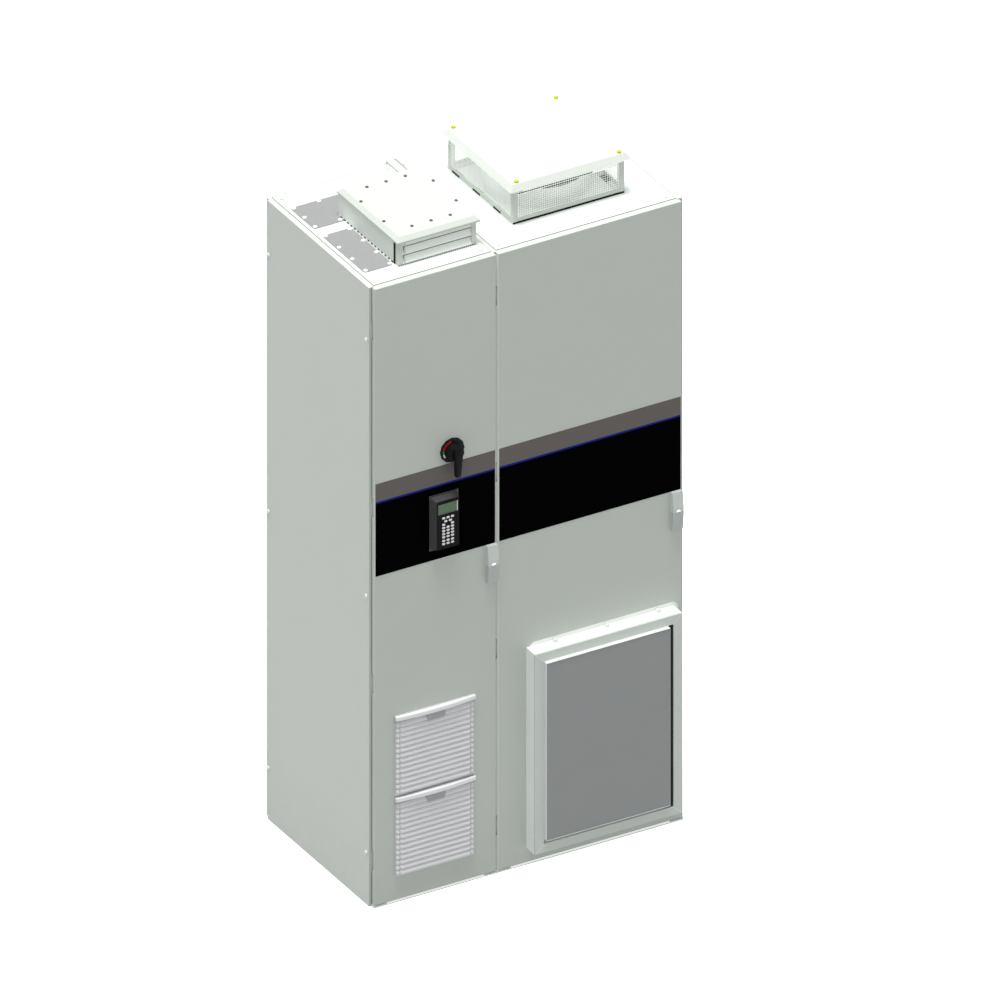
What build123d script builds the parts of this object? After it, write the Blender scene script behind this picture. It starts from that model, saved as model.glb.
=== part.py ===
from build123d import *
import math
import os

# Two-bay floor-standing drive cabinet: a narrow input bay on the left and a wide power bay on the
# right. X runs to the right, Y to the back, Z up. The origin is the centre of the footprint, on
# the floor. Everything is in millimetres.

# ---- cabinet ----
CABINET_HEIGHT = 2000.0
LEFT_BAY_WIDTH = 400.0
RIGHT_BAY_WIDTH = 600.0
CABINET_DEPTH = 604.0
SHEET = 2.0
POST = 42.0
POST_WALL = 2.5
SIDE_PANEL_DEPTH = 7.0
SIDE_PANEL_LIP = 12.0
REAR_PANEL_DEPTH = 18.0
SIDE_PANEL_SETBACK = 1.0
CORNER_BLOCK_HEIGHT = 7.0
SILL_HEIGHT = 3.0
GUSSET = 56.0
GUSSET_THICKNESS = 4.0
FLOOR_BOLT_RADIUS = 7.0
TOUCH_GAP = 0.3

# ---- doors ----
DOOR_DEPTH = 15.0
DOOR_GAP_TO_FRAME = 3.0
DOOR_SIDE_GAP = 2.0
DOOR_BAY_GAP = 6.0
DOOR_BOTTOM = 8.0
DOOR_LIP = 40.0
DOOR_EDGE_RADIUS = 1.5
GASKET_INSET = 27.0
GASKET_WIDTH = 12.0
HINGE_INSET = 6.0
HINGE_ARM_REACH = 12.0
HINGE_ARM_OFFSET = 2.4
HINGE_ARM_THICKNESS = 1.8
HINGE_NECK = 3.0
HINGE_DEPTH = 5.0
HINGE_PIN_RADIUS = 2.0
HINGE_PIN_CLEARANCE = 0.05
HINGE_HALF_HEIGHT = 25.0
HINGE_COUNT = 4
HINGE_END_MARGIN = 140.0

# ---- banner strip across both doors ----
BANNER_BOTTOM = 1071.5
BANNER_TOP = 1370.0
BANNER_THICKNESS = 0.8
BANNER_INSET = 3.0

# ---- latches ----
LATCH_BOTTOM = 947.0
LATCH_TOP = 1071.0
LATCH_WIDTH = 34.0
LATCH_BASE_DEPTH = 7.0
LATCH_LEVER_DEPTH = 9.0
LATCH_EDGE_OFFSET = 1.4
SPINDLE_RADIUS = 5.0
SPINDLE_CLEARANCE = 0.2
LOCK_BUTTON_RADIUS = 7.0
LOCK_BUTTON_TRAVEL = 2.0
LOCK_BUTTON_PROUD = 0.8
LOCK_BUTTON_BODY = 3.2
GEARBOX_NECK_WIDTH = 16.0
GEARBOX_HEIGHT = 59.0
GEARBOX_WALL = 3.0
GEARBOX_CLEARANCE = 0.5
BAR_GUIDE_HEIGHT = 30.0
LOCK_BAR_WIDTH = 20.0
LOCK_BAR_THICKNESS = 3.0
LOCK_BAR_CLEARANCE = 0.5
LOCK_BAR_TRAVEL = 12.0
LOCK_BAR_END = 160.0

# ---- operator keypad ----
KEYPAD_X = -275.25
KEYPAD_BOTTOM = 1104.0
KEYPAD_TOP = 1281.0
KEYPAD_BEZEL_WIDTH = 93.5
KEYPAD_BEZEL_DEPTH = 3.0
KEYPAD_HOUSING_INSET = 4.0
KEYPAD_TAPER = 6.5
KEYPAD_DEPTH = 25.0
KEYPAD_REAR_DEPTH = 19.0
KEYPAD_CUTOUT_MARGIN = 13.0
DISPLAY_WIDTH = 60.0
DISPLAY_BOTTOM = 1229.0
DISPLAY_TOP = 1258.0
DISPLAY_PANEL_THICKNESS = 1.5
KEY_LENGTH = 10.0
KEY_WIDTH = 6.0
KEY_PROUD = 1.6
KEY_TRAVEL = 1.0
KEY_BODY_DEPTH = 2.5
KEY_CLEARANCE = 0.3
KEY_COLUMN_PITCH = 14.2
KEY_INNER_PITCH = 7.4

# ---- main switch: handle, dial ring and shaft ----
SWITCH_X = -248.0
SWITCH_Z = 1411.0
ESCUTCHEON_RADIUS = 39.0
ESCUTCHEON_DEPTH = 5.0
HANDLE_HUB_RADIUS = 25.0
HANDLE_HUB_DEPTH = 26.0
HANDLE_LEVER_LENGTH = 72.0
HANDLE_LEVER_DEPTH = 22.0
HANDLE_LEVER_TIP_WIDTH = 17.0
HANDLE_LEVER_WIDTH = 25.0
HANDLE_LEVER_HEEL = 24.0
HANDLE_BOSS_RADIUS = 10.0
HANDLE_CLEARANCE = 0.4
SHAFT_RADIUS = 5.0
SHAFT_TIP_GAP = 2.0

# ---- air inlet grilles of the left door ----
GRILLE_LEFT = -434.0
GRILLE_RIGHT = -177.0
GRILLE_HEIGHT = 257.0
GRILLE_LOWER_BOTTOM = 84.0
GRILLE_PITCH = 262.0
GRILLE_DEPTH = 12.0
GRILLE_VISOR_DEPTH = 20.0
GRILLE_VISOR_HEIGHT = 13.0
GRILLE_RIM = 14.0
GRILLE_SLATS = 13
GRILLE_SLAT_THICKNESS = 2.5
GRILLE_SLAT_TILT = 35.0
GRILLE_EDGE_RADIUS = 5.9
GRILLE_CUTOUT_MARGIN = 16.0
INLET_MAT_DEPTH = 12.0
INLET_MAT_CLEARANCE = 1.0

# ---- filter box of the right door ----
BOX_LEFT = -7.5
BOX_RIGHT = 468.0
BOX_BOTTOM = 55.0
BOX_TOP = 702.0
BOX_DEPTH = 50.0
BOX_FRAME_DEPTH = 7.0
BOX_FRAME_EDGE_RADIUS = 3.4
BOX_OPENING_MARGIN = 28.5
BOX_MAT_DEPTH = 17.0
BOX_MAT_PROUD = 14.0
BOX_MAT_CLEARANCE = 0.5
BOX_MAT_GAP_RIGHT = 18.0
BOX_MAT_GAP_BOTTOM = 15.0
BOX_LEDGE = 5.0
BOX_FLANGE_RISE = 11.0
BOX_FLANGE_LEFT = 2.0
BOX_FLANGE_RIGHT = 482.0
BOX_FLANGE_RADIUS = 20.0
BOX_FLANGE_THICKNESS = 1.5
BOX_SCREW_RADIUS = 7.0
BOX_SCREW_SPAN = 334.0
BOX_SCREW_COUNT = 3
BOX_SCREW_SHIFT = 17.0
BOX_SCREW_GAP = 3.0
BOX_HINGE_GAP = 0.3

# ---- roof ----
ROOF_SIDE_INSET = 12.0
ROOF_BAY_INSET = 8.0
ROOF_FRONT_INSET = 24.0
ROOF_REAR_INSET = 12.0
ROOF_SCREW_INSET = 20.0
GLAND_THICKNESS = 2.0
GLAND_RADIUS = 10.0
GLAND_OPENING_MARGIN = 14.0
GLAND_SCREW_INSET = 8.0
GLAND_HOOD_GAP = 6.0
FRONT_GLAND_SETBACK = 15.0
FRONT_GLAND_LENGTH = 238.0
GLAND_SPACING = 44.0
REAR_GLAND_LENGTH = 135.0
REAR_GLAND_WIDTH = 196.0
FRONT_GLAND_SCREW_ROWS = 4
REAR_GLAND_SCREW_ROWS = 3
PANEL_SCREW_HEAD = 6.5
PANEL_SCREW_HEAD_DEPTH = 3.2
PANEL_SCREW_SHANK = 2.4
PANEL_SCREW_CLEARANCE = 0.1
SIDE_SCREW_HEIGHTS = (168.0, 997.0, 1826.0)
SIDE_SCREW_FRONT = 31.5
SIDE_SCREW_REAR = 25.3

HOOD_LEFT = -376.0
HOOD_RIGHT = -119.0
HOOD_FRONT = -222.0
HOOD_REAR = 108.0
HOOD_WALL_HEIGHT = 72.0
HOOD_LID_HEIGHT = 18.0
HOOD_LID_OVERHANG = 5.0
HOOD_LID_BEVEL = 12.0
HOOD_LID_WALL = 8.0
HOOD_SCREW_INSETS = (14.0, 9.0, 42.0, 36.0)
HOOD_SCREW_PITCH = 62.0
HOOD_LOUVRE_DEPTH = 15.0
HOOD_LOUVRE_POST = 15.0
HOOD_LOUVRE_RAIL = 4.0
HOOD_BLADE_TILT = 40.0
HOOD_BLADE_SHARE = 0.7

CAGE_LEFT = 20.0
CAGE_RIGHT = 380.0
CAGE_FRONT = -180.0
CAGE_REAR = 185.0
CAGE_SEAL_HEIGHT = 6.0
CAGE_SEAL_WIDTH = 15.0
CAGE_HEIGHT = 105.0
CAGE_RAIL = 15.0
CAGE_SCREEN = 1.5
CAGE_SLOT_PITCH = 15.0
CAGE_SLOT_WIDTH = 9.0
CAGE_SLOT_BRIDGE = 6.0
CAGE_LID_HEIGHT = 20.0
CAGE_LID_OVERHANG = 14.0
CAGE_LID_SLOPE = 12.0
CAGE_CAP_RADIUS = 7.0
CAGE_CAP_HEIGHT = 6.0
CAGE_CAP_SIDE_INSET = 14.0
CAGE_CAP_END_INSET = 6.0

FAN_RADIUS = 150.0
FAN_TIP_GAP = 4.0
FAN_RING_HEIGHT = 60.0
FAN_RING_WALL = 4.0
FAN_HUB_RADIUS = 50.0
FAN_MOTOR_RADIUS = 45.0
FAN_MOTOR_HEIGHT = 45.0
FAN_BLADES = 7
FAN_BLADE_TILT = 32.0
FAN_AXLE_RADIUS = 8.0
FAN_AXLE_CLEARANCE = 0.05

BRACKET_LEFT = -115.0
BRACKET_RIGHT = -84.0
BRACKET_FRONT = 211.0
BRACKET_HEIGHT = 8.0
BRACKET_WALL = 2.5

# ---- equipment inside ----
PLATE_THICKNESS = 3.0
PLATE_END_MARGIN = 110.0
SWITCH_BODY_WIDTH = 140.0
SWITCH_BODY_HEIGHT = 256.0
SWITCH_BODY_DEPTH = 110.0
PHASES = 3
PHASE_PITCH = 44.0
FUSE_RADIUS = 19.0
FUSE_LENGTH = 78.0
FUSE_Z = 1090.0
FUSE_BASE_DEPTH = 40.0
BUSBAR_WIDTH = 30.0
BUSBAR_THICKNESS = 6.0
REACTOR_BOTTOM = 150.0
REACTOR_HEIGHT = 220.0
REACTOR_WIDTH = 270.0
REACTOR_DEPTH = 110.0
REACTOR_LIMB = 40.0
REACTOR_COIL_GAP = 0.5
REACTOR_COIL_BUILD = 17.0
MODULE_LEFT = 20.0
MODULE_RIGHT = 380.0
MODULE_BOTTOM = 760.0
MODULE_TOP = 1700.0
MODULE_DEPTH = 300.0
MODULE_WALL = 2.5
HEATSINK_BASE = 20.0
HEATSINK_DEPTH = 130.0
HEATSINK_FINS = 17
HEATSINK_FIN_THICKNESS = 3.0
HEATSINK_HEIGHT = 420.0
IGBT_WIDTH = 90.0
IGBT_HEIGHT = 150.0
IGBT_DEPTH = 38.0
IGBT_STEP_DEPTH = 10.0
IGBT_STEP_HALF_HEIGHT = 25.0
CAPACITOR_RADIUS = 38.0
CAPACITOR_LENGTH = 130.0
CAPACITOR_COLUMNS = 4
CAPACITOR_ROWS = 3
CAPACITOR_PITCH = 84.0
BOARD_THICKNESS = 2.0
BOARD_STANDOFF = 12.0
# Each component as offset along X, offset along Z, width, height and depth.
BOARD_COMPONENTS = ((40, 60, 60, 40, 18), (140, 80, 50, 50, 8), (60, 200, 120, 30, 22),
                    (200, 240, 40, 60, 12))

# ---- planes and edges that follow from the sizes above ----
X_LEFT = -(LEFT_BAY_WIDTH + RIGHT_BAY_WIDTH) / 2
X_BAY = X_LEFT + LEFT_BAY_WIDTH
X_RIGHT = X_BAY + RIGHT_BAY_WIDTH
DOOR_FRONT = -CABINET_DEPTH / 2
DOOR_BACK = DOOR_FRONT + DOOR_DEPTH
FRAME_FRONT = DOOR_BACK + DOOR_GAP_TO_FRAME
PANEL_BACK = CABINET_DEPTH / 2
FRAME_REAR = PANEL_BACK - REAR_PANEL_DEPTH
FRAME_TOP = CABINET_HEIGHT - SHEET
ROOF_FRONT = DOOR_FRONT + ROOF_FRONT_INSET
ROOF_REAR = PANEL_BACK - ROOF_REAR_INSET
LEFT_DOOR = (X_LEFT + DOOR_SIDE_GAP, X_BAY - DOOR_BAY_GAP)
RIGHT_DOOR = (X_BAY + DOOR_SIDE_GAP, X_RIGHT - DOOR_BAY_GAP)
HINGE_Y = DOOR_FRONT + HINGE_DEPTH
PLATE_FRONT = FRAME_REAR - POST - PLATE_THICKNESS
LATCH_Z = (LATCH_BOTTOM + LATCH_TOP) / 2
LATCH_BASE_FRONT = DOOR_FRONT - LATCH_BASE_DEPTH
LATCH_LEVER_BACK = LATCH_BASE_FRONT - TOUCH_GAP
LOCK_BAR_FRONT = DOOR_FRONT + SHEET + 3.0
ESCUTCHEON_FRONT = DOOR_FRONT - ESCUTCHEON_DEPTH
HANDLE_BACK = ESCUTCHEON_FRONT - TOUCH_GAP
GRILLE_BOTTOMS = (GRILLE_LOWER_BOTTOM, GRILLE_LOWER_BOTTOM + GRILLE_PITCH)
CAGE_BASE = CABINET_HEIGHT + CAGE_SEAL_HEIGHT
CAGE_TOP = CAGE_BASE + CAGE_HEIGHT
FAN_X = (CAGE_LEFT + CAGE_RIGHT) / 2
FAN_Y = (CAGE_FRONT + CAGE_REAR) / 2


# ---- helpers ----
def block(x0, x1, y0, y1, z0, z1):
    """A box between two opposite corners."""
    middle = Pos((x0 + x1) / 2, (y0 + y1) / 2, (z0 + z1) / 2)
    return middle * Box(x1 - x0, y1 - y0, z1 - z0)


def rod_x(x0, x1, y, z, radius):
    """A round bar along X."""
    return Pos((x0 + x1) / 2, y, z) * Rot(0, 90, 0) * Cylinder(radius, x1 - x0)


def rod_y(x, y0, y1, z, radius):
    """A round bar along Y."""
    return Pos(x, (y0 + y1) / 2, z) * Rot(90, 0, 0) * Cylinder(radius, y1 - y0)


def rod_z(x, y, z0, z1, radius):
    """A round bar along Z."""
    return Pos(x, y, (z0 + z1) / 2) * Cylinder(radius, z1 - z0)


def rounded_plate(x0, x1, y0, y1, z0, z1, radius):
    """A flat plate with rounded corners, lying in the XY plane."""
    outline = RectangleRounded(x1 - x0, y1 - y0, radius)
    return Pos((x0 + x1) / 2, (y0 + y1) / 2, z0) * extrude(outline, z1 - z0)


def upright_plate(x0, x1, z0, z1, y_front, y_back, radius):
    """A plate with rounded corners standing in the XZ plane, between two Y planes."""
    outline = RectangleRounded(x1 - x0, z1 - z0, radius)
    placed = Pos((x0 + x1) / 2, y_back, (z0 + z1) / 2) * Rot(90, 0, 0)
    return placed * extrude(outline, y_back - y_front)


def save(name, shapes):
    """Write one node: a single shape, or a group of separate solids."""
    solids = [solid for shape in shapes for solid in shape.solids()]
    export_step(solids[0] if len(solids) == 1 else Compound(solids), f"parts/{name}.step")


# ---- screws: the holes and the screws come from the same places ----
def side_screw_places():
    """Screws of one side panel, as (y, z)."""
    columns = (DOOR_FRONT + SIDE_SCREW_FRONT, PANEL_BACK - SIDE_SCREW_REAR)
    return [(y, z) for y in columns for z in SIDE_SCREW_HEIGHTS]


def roof_edges(bay):
    """Left and right edge of a bay's roof plate."""
    if bay == "left":
        return X_LEFT + ROOF_SIDE_INSET, X_BAY - ROOF_BAY_INSET
    return X_BAY + ROOF_BAY_INSET, X_RIGHT - ROOF_SIDE_INSET + SHEET


def roof_screw_places(bay):
    """Four corner screws of a roof plate."""
    x0, x1 = roof_edges(bay)
    inset = ROOF_SCREW_INSET
    return [(x, y) for x in (x0 + inset, x1 - inset) for y in (ROOF_FRONT + inset, ROOF_REAR - inset)]


def gland_outlines():
    """Front and rear gland plate of the left roof: x0, x1, y0, y1."""
    x0 = X_LEFT + 2 * ROOF_SIDE_INSET
    front_y = HOOD_FRONT + FRONT_GLAND_SETBACK
    rear_y = front_y + FRONT_GLAND_LENGTH + GLAND_SPACING
    front = (x0, HOOD_LEFT - GLAND_HOOD_GAP, front_y, front_y + FRONT_GLAND_LENGTH)
    rear = (x0, x0 + REAR_GLAND_WIDTH, rear_y, rear_y + REAR_GLAND_LENGTH)
    return front, rear


def gland_screw_places():
    """Screws near the edges of the two gland plates."""
    front, rear = gland_outlines()
    inset = GLAND_SCREW_INSET
    places = []
    front_pitch = (front[3] - front[2] - 2 * inset) / (FRONT_GLAND_SCREW_ROWS - 1)
    for x in (front[0] + inset, front[1] - inset):
        places += [(x, front[2] + inset + i * front_pitch) for i in range(FRONT_GLAND_SCREW_ROWS)]
    rear_pitch = (rear[3] - rear[2] - 2 * inset) / (REAR_GLAND_SCREW_ROWS - 1)
    places += [(rear[0] + inset, rear[2] + inset + i * rear_pitch) for i in range(REAR_GLAND_SCREW_ROWS)]
    beside_hood = HOOD_LEFT - SHEET - GLAND_SCREW_INSET - 1
    places += [(beside_hood, rear[2] + inset), (beside_hood, rear[3] - inset)]
    places.append((rear[1] - inset, rear[3] - inset))
    return places


def hood_screw_places():
    """Ten screws that hold the hood lid: two on each side, three at the front and at the rear."""
    left, right, front, rear = HOOD_SCREW_INSETS
    x0, x1 = HOOD_LEFT + left, HOOD_RIGHT - right
    y0, y1 = HOOD_FRONT + front, HOOD_REAR - rear
    step = HOOD_SCREW_PITCH
    sides = [(x, y) for x in (x0, x1) for y in (y0 + step, y1 - step)]
    middle = (x0 + x1) / 2
    ends = [(middle + offset, y) for offset in (-step, 0, step) for y in (y0, y1)]
    return sides + ends


def dome_screw(length, head_radius=PANEL_SCREW_HEAD):
    """A dome-head screw with its seat at the origin and its shank pointing down."""
    head = Pos(0, 0, PANEL_SCREW_HEAD_DEPTH / 2) * Cylinder(head_radius, PANEL_SCREW_HEAD_DEPTH)
    head = fillet(head.edges().group_by(Axis.Z)[-1], PANEL_SCREW_HEAD_DEPTH * 0.7)
    return head + Pos(0, 0, -length / 2) * Cylinder(PANEL_SCREW_SHANK, length)


def make_panel_screws():
    """Every outside screw of the side panels, roof plates, gland plates and hood lid."""
    screws = []
    for side in (-1, 1):
        turn = Rot(0, 90 * side, 0)
        seat = side * (X_RIGHT + SIDE_PANEL_DEPTH)
        for y, z in side_screw_places():
            screws.append(Pos(seat, y, z) * turn * dome_screw(SIDE_PANEL_DEPTH + POST_WALL + 4))
    for bay in ("left", "right"):
        for x, y in roof_screw_places(bay):
            screws.append(Pos(x, y, CABINET_HEIGHT) * dome_screw(SHEET + POST_WALL + 4))
    for x, y in gland_screw_places():
        screws.append(Pos(x, y, CABINET_HEIGHT + GLAND_THICKNESS) * dome_screw(GLAND_THICKNESS + SHEET + 2))
    for x, y in hood_screw_places():
        screws.append(Pos(x, y, hood_top()) * dome_screw(HOOD_LID_HEIGHT - 8, PANEL_SCREW_HEAD - 1.5))
    return screws


def shank_hole_x(side, y, z, depth):
    """Clearance hole along X for a side-panel screw."""
    outer = side * (X_RIGHT + SIDE_PANEL_DEPTH)
    inner = outer - side * depth
    return rod_x(min(outer, inner), max(outer, inner), y, z, PANEL_SCREW_SHANK + PANEL_SCREW_CLEARANCE)


def shank_hole_z(x, y, z0, z1):
    """Clearance hole along Z for a roof, gland or lid screw."""
    return rod_z(x, y, z0, z1, PANEL_SCREW_SHANK + PANEL_SCREW_CLEARANCE)


# ---- frame ----
def tube_z(x, y, z0, z1):
    """A square post, closed at the top; x and y are its low corner."""
    inner = block(x + POST_WALL, x + POST - POST_WALL, y + POST_WALL, y + POST - POST_WALL,
                  z0, z1 - POST_WALL)
    return block(x, x + POST, y, y + POST, z0, z1) - inner


def tube_x(x0, x1, y, z):
    """A square rail along X between two posts."""
    inner = block(x0, x1, y + POST_WALL, y + POST - POST_WALL, z + POST_WALL, z + POST - POST_WALL)
    return block(x0, x1, y, y + POST, z, z + POST) - inner


def tube_y(x, y0, y1, z):
    """A square rail along Y between two posts."""
    inner = block(x + POST_WALL, x + POST - POST_WALL, y0, y1, z + POST_WALL, z + POST - POST_WALL)
    return block(x, x + POST, y0, y1, z, z + POST) - inner


def make_frame(bay):
    """Posts, rails, floor gussets, corner blocks and sill of one bay, as separate welded members."""
    x0, x1 = (X_LEFT, X_BAY) if bay == "left" else (X_BAY, X_RIGHT)
    near, far = FRAME_FRONT, FRAME_REAR - POST
    top_rail = FRAME_TOP - POST
    holes = Part()
    side = -1 if bay == "left" else 1
    depth = SIDE_PANEL_DEPTH + POST_WALL + 6
    for y, z in side_screw_places():
        holes += shank_hole_x(side, y, z, depth)
    roof_screws = roof_screw_places(bay)
    if bay == "left":
        roof_screws = roof_screws + gland_screw_places()
    for x, y in roof_screws:
        holes += shank_hole_z(x, y, FRAME_TOP - POST_WALL - 3, FRAME_TOP)
    members = []
    for x in (x0, x1 - POST):
        for y in (near, far):
            members.append(tube_z(x, y, 0, FRAME_TOP) - holes)
    for z in (0, top_rail):
        for y in (near, far):
            members.append(tube_x(x0 + POST, x1 - POST, y, z) - holes)
        for x in (x0, x1 - POST):
            members.append(tube_y(x, near + POST, far, z) - holes)
    for x in (x0 + POST, x1 - POST - GUSSET):
        for y in (near + POST, far - GUSSET):
            plate = block(x, x + GUSSET, y, y + GUSSET, 0, GUSSET_THICKNESS)
            bolt = rod_z(x + GUSSET / 2, y + GUSSET / 2, -1, GUSSET_THICKNESS + 1, FLOOR_BOLT_RADIUS)
            members.append(plate - bolt)
    for x in (x0, x1 - POST):
        members.append(block(x, x + POST, DOOR_FRONT, FRAME_FRONT, 0, CORNER_BLOCK_HEIGHT))
    members.append(block(x0 + POST, x1 - POST, DOOR_FRONT, FRAME_FRONT, 0, SILL_HEIGHT))
    return members


def make_side_panel(side):
    """A folded tray that covers one side; its top lip lies on the frame."""
    front, rear = FRAME_FRONT - SHEET, FRAME_REAR - SIDE_PANEL_SETBACK
    outer = X_RIGHT + SIDE_PANEL_DEPTH
    tray = block(X_RIGHT, outer, front, rear, 0, CABINET_HEIGHT)
    tray -= block(X_RIGHT, outer - SHEET, front + SHEET, rear - SHEET, SHEET, FRAME_TOP)
    tray += block(X_RIGHT - SIDE_PANEL_LIP + SHEET, X_RIGHT, front + SHEET, rear, FRAME_TOP, CABINET_HEIGHT)
    for y, z in side_screw_places():
        tray += rod_x(X_RIGHT, outer - SHEET, y, z, PANEL_SCREW_HEAD)
        tray -= shank_hole_x(1, y, z, SIDE_PANEL_DEPTH)
    return [tray if side > 0 else mirror(tray, Plane.YZ)]


def make_rear_panels():
    """Two folded sheets that close the back of the bays."""
    panels = []
    for x0, x1 in ((X_LEFT, X_BAY), (X_BAY, X_RIGHT)):
        tray = block(x0 + 1, x1 - 1, FRAME_REAR, PANEL_BACK, SHEET, FRAME_TOP)
        tray -= block(x0 + 1 + SHEET, x1 - 1 - SHEET, FRAME_REAR, PANEL_BACK - SHEET,
                      2 * SHEET, FRAME_TOP - SHEET)
        panels.append(tray)
    return panels


def make_bracket():
    """The small channel that ties the two bays together at the top rear."""
    channel = block(BRACKET_LEFT, BRACKET_RIGHT, BRACKET_FRONT, PANEL_BACK, CABINET_HEIGHT,
                    CABINET_HEIGHT + BRACKET_HEIGHT)
    channel -= block(BRACKET_LEFT + BRACKET_WALL, BRACKET_RIGHT - BRACKET_WALL, BRACKET_FRONT, PANEL_BACK,
                     CABINET_HEIGHT + BRACKET_WALL, CABINET_HEIGHT + BRACKET_HEIGHT)
    return [channel]


# ---- roof ----
def make_roof_plate_left():
    """Roof sheet of the input bay, with the hood opening and two gland openings."""
    x0, x1 = roof_edges("left")
    plate = block(x0, x1, ROOF_FRONT, ROOF_REAR, FRAME_TOP, CABINET_HEIGHT)
    rim = HOOD_LOUVRE_POST
    plate -= block(HOOD_LEFT + rim, HOOD_RIGHT - rim, HOOD_FRONT + 2 * rim, HOOD_REAR - rim,
                   FRAME_TOP - 1, CABINET_HEIGHT + 1)
    front, rear = gland_outlines()
    m = GLAND_OPENING_MARGIN
    plate -= block(front[0] + m, front[1] - m, front[2] + m, front[3] - m, FRAME_TOP - 1, CABINET_HEIGHT + 1)
    plate -= block(rear[0] + m, HOOD_LEFT - m, rear[2] + m, rear[3] - m, FRAME_TOP - 1, CABINET_HEIGHT + 1)
    for x, y in roof_screw_places("left") + gland_screw_places():
        plate -= shank_hole_z(x, y, FRAME_TOP - 1, CABINET_HEIGHT + 1)
    return [plate]


def make_roof_plate_right():
    """Roof sheet of the power bay, with the round fan opening."""
    x0, x1 = roof_edges("right")
    plate = block(x0, x1, ROOF_FRONT, ROOF_REAR, FRAME_TOP, CABINET_HEIGHT)
    plate -= rod_z(FAN_X, FAN_Y, FRAME_TOP - 1, CABINET_HEIGHT + 1, FAN_RADIUS)
    for x, y in roof_screw_places("right"):
        plate -= shank_hole_z(x, y, FRAME_TOP - 1, CABINET_HEIGHT + 1)
    return [plate]


def make_gland_plates():
    """Blank cable-entry plates: two on the left roof and two in the floor of each bay."""
    z0, z1 = CABINET_HEIGHT, CABINET_HEIGHT + GLAND_THICKNESS
    front, rear = gland_outlines()
    front_plate = rounded_plate(*front, z0, z1, GLAND_RADIUS)
    rear_plate = rounded_plate(*rear, z0, z1, GLAND_RADIUS)
    rear_plate -= block(HOOD_LEFT - SHEET, rear[1] + 1, rear[2] - 1, HOOD_REAR + 4, z0 - 1, z1 + 1)
    for x, y in gland_screw_places():
        hole = shank_hole_z(x, y, z0 - 1, z1 + 1)
        front_plate -= hole
        rear_plate -= hole
    plates = [front_plate, rear_plate]
    middle = (FRAME_FRONT + FRAME_REAR) / 2
    for x0, x1 in ((X_LEFT, X_BAY), (X_BAY, X_RIGHT)):
        for y0, y1 in ((FRAME_FRONT + 12, middle - 1), (middle + 1, FRAME_REAR - 12)):
            plates.append(block(x0 + POST + 1, x1 - POST - 1, y0, y1, POST, POST + GLAND_THICKNESS))
    return plates


def hood_top():
    """Height of the hood lid's flat top."""
    return CABINET_HEIGHT + HOOD_WALL_HEIGHT + HOOD_LID_HEIGHT


def make_hood_casing():
    """Three sheet walls of the exhaust hood; the front is open for the louvre."""
    z0, z1 = CABINET_HEIGHT, CABINET_HEIGHT + HOOD_WALL_HEIGHT
    casing = block(HOOD_LEFT, HOOD_RIGHT, HOOD_FRONT + HOOD_LOUVRE_DEPTH, HOOD_REAR, z0, z1)
    casing -= block(HOOD_LEFT + SHEET, HOOD_RIGHT - SHEET, HOOD_FRONT, HOOD_REAR - SHEET, z0 - 1, z1 + 1)
    return [casing]


def make_hood_lid():
    """A shallow lid with sloped edges that closes the hood."""
    z0 = CABINET_HEIGHT + HOOD_WALL_HEIGHT
    x0, x1 = HOOD_LEFT - HOOD_LID_OVERHANG + 1, HOOD_RIGHT + HOOD_LID_OVERHANG + 1
    y0, y1 = HOOD_FRONT - HOOD_LID_OVERHANG, HOOD_REAR + HOOD_LID_OVERHANG
    lid = block(x0, x1, y0, y1, z0, hood_top())
    lid = chamfer(lid.faces().sort_by(Axis.Z)[-1].edges(), HOOD_LID_BEVEL)
    w = HOOD_LID_WALL
    lid -= block(HOOD_LEFT + w, HOOD_RIGHT - w, HOOD_FRONT + w, HOOD_REAR - w, z0,
                 hood_top() - HOOD_LID_BEVEL)
    for x, y in hood_screw_places():
        lid -= shank_hole_z(x, y, z0, hood_top())
    return [lid]


def make_hood_louvre():
    """The outlet frame at the front of the hood, with three sloped blades."""
    z0, z1 = CABINET_HEIGHT, CABINET_HEIGHT + HOOD_WALL_HEIGHT
    y0, y1 = HOOD_FRONT, HOOD_FRONT + HOOD_LOUVRE_DEPTH
    x0, x1 = HOOD_LEFT + 1, HOOD_RIGHT - 4
    inner0, inner1 = x0 + HOOD_LOUVRE_POST, x1 - HOOD_LOUVRE_POST
    frame = block(x0, x1, y0, y1, z0, z1)
    frame -= block(inner0, inner1, y0 - 1, y1 + 1, z0 + HOOD_LOUVRE_RAIL, z1 - HOOD_LOUVRE_RAIL)
    blades = 3
    opening = z1 - z0 - 2 * HOOD_LOUVRE_RAIL
    pitch = opening / blades
    chord = pitch / math.cos(math.radians(90 - HOOD_BLADE_TILT)) * HOOD_BLADE_SHARE
    for i in range(blades):
        middle = z0 + HOOD_LOUVRE_RAIL + (i + 0.5) * pitch
        blade = Rot(90 - HOOD_BLADE_TILT, 0, 0) * Box(inner1 - inner0 + 2, chord, SHEET)
        blade &= Box(inner1 - inner0 + 2, HOOD_LOUVRE_DEPTH - 1, pitch - 1)
        frame += Pos((inner0 + inner1) / 2, (y0 + y1) / 2, middle) * blade
    return [frame]


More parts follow.
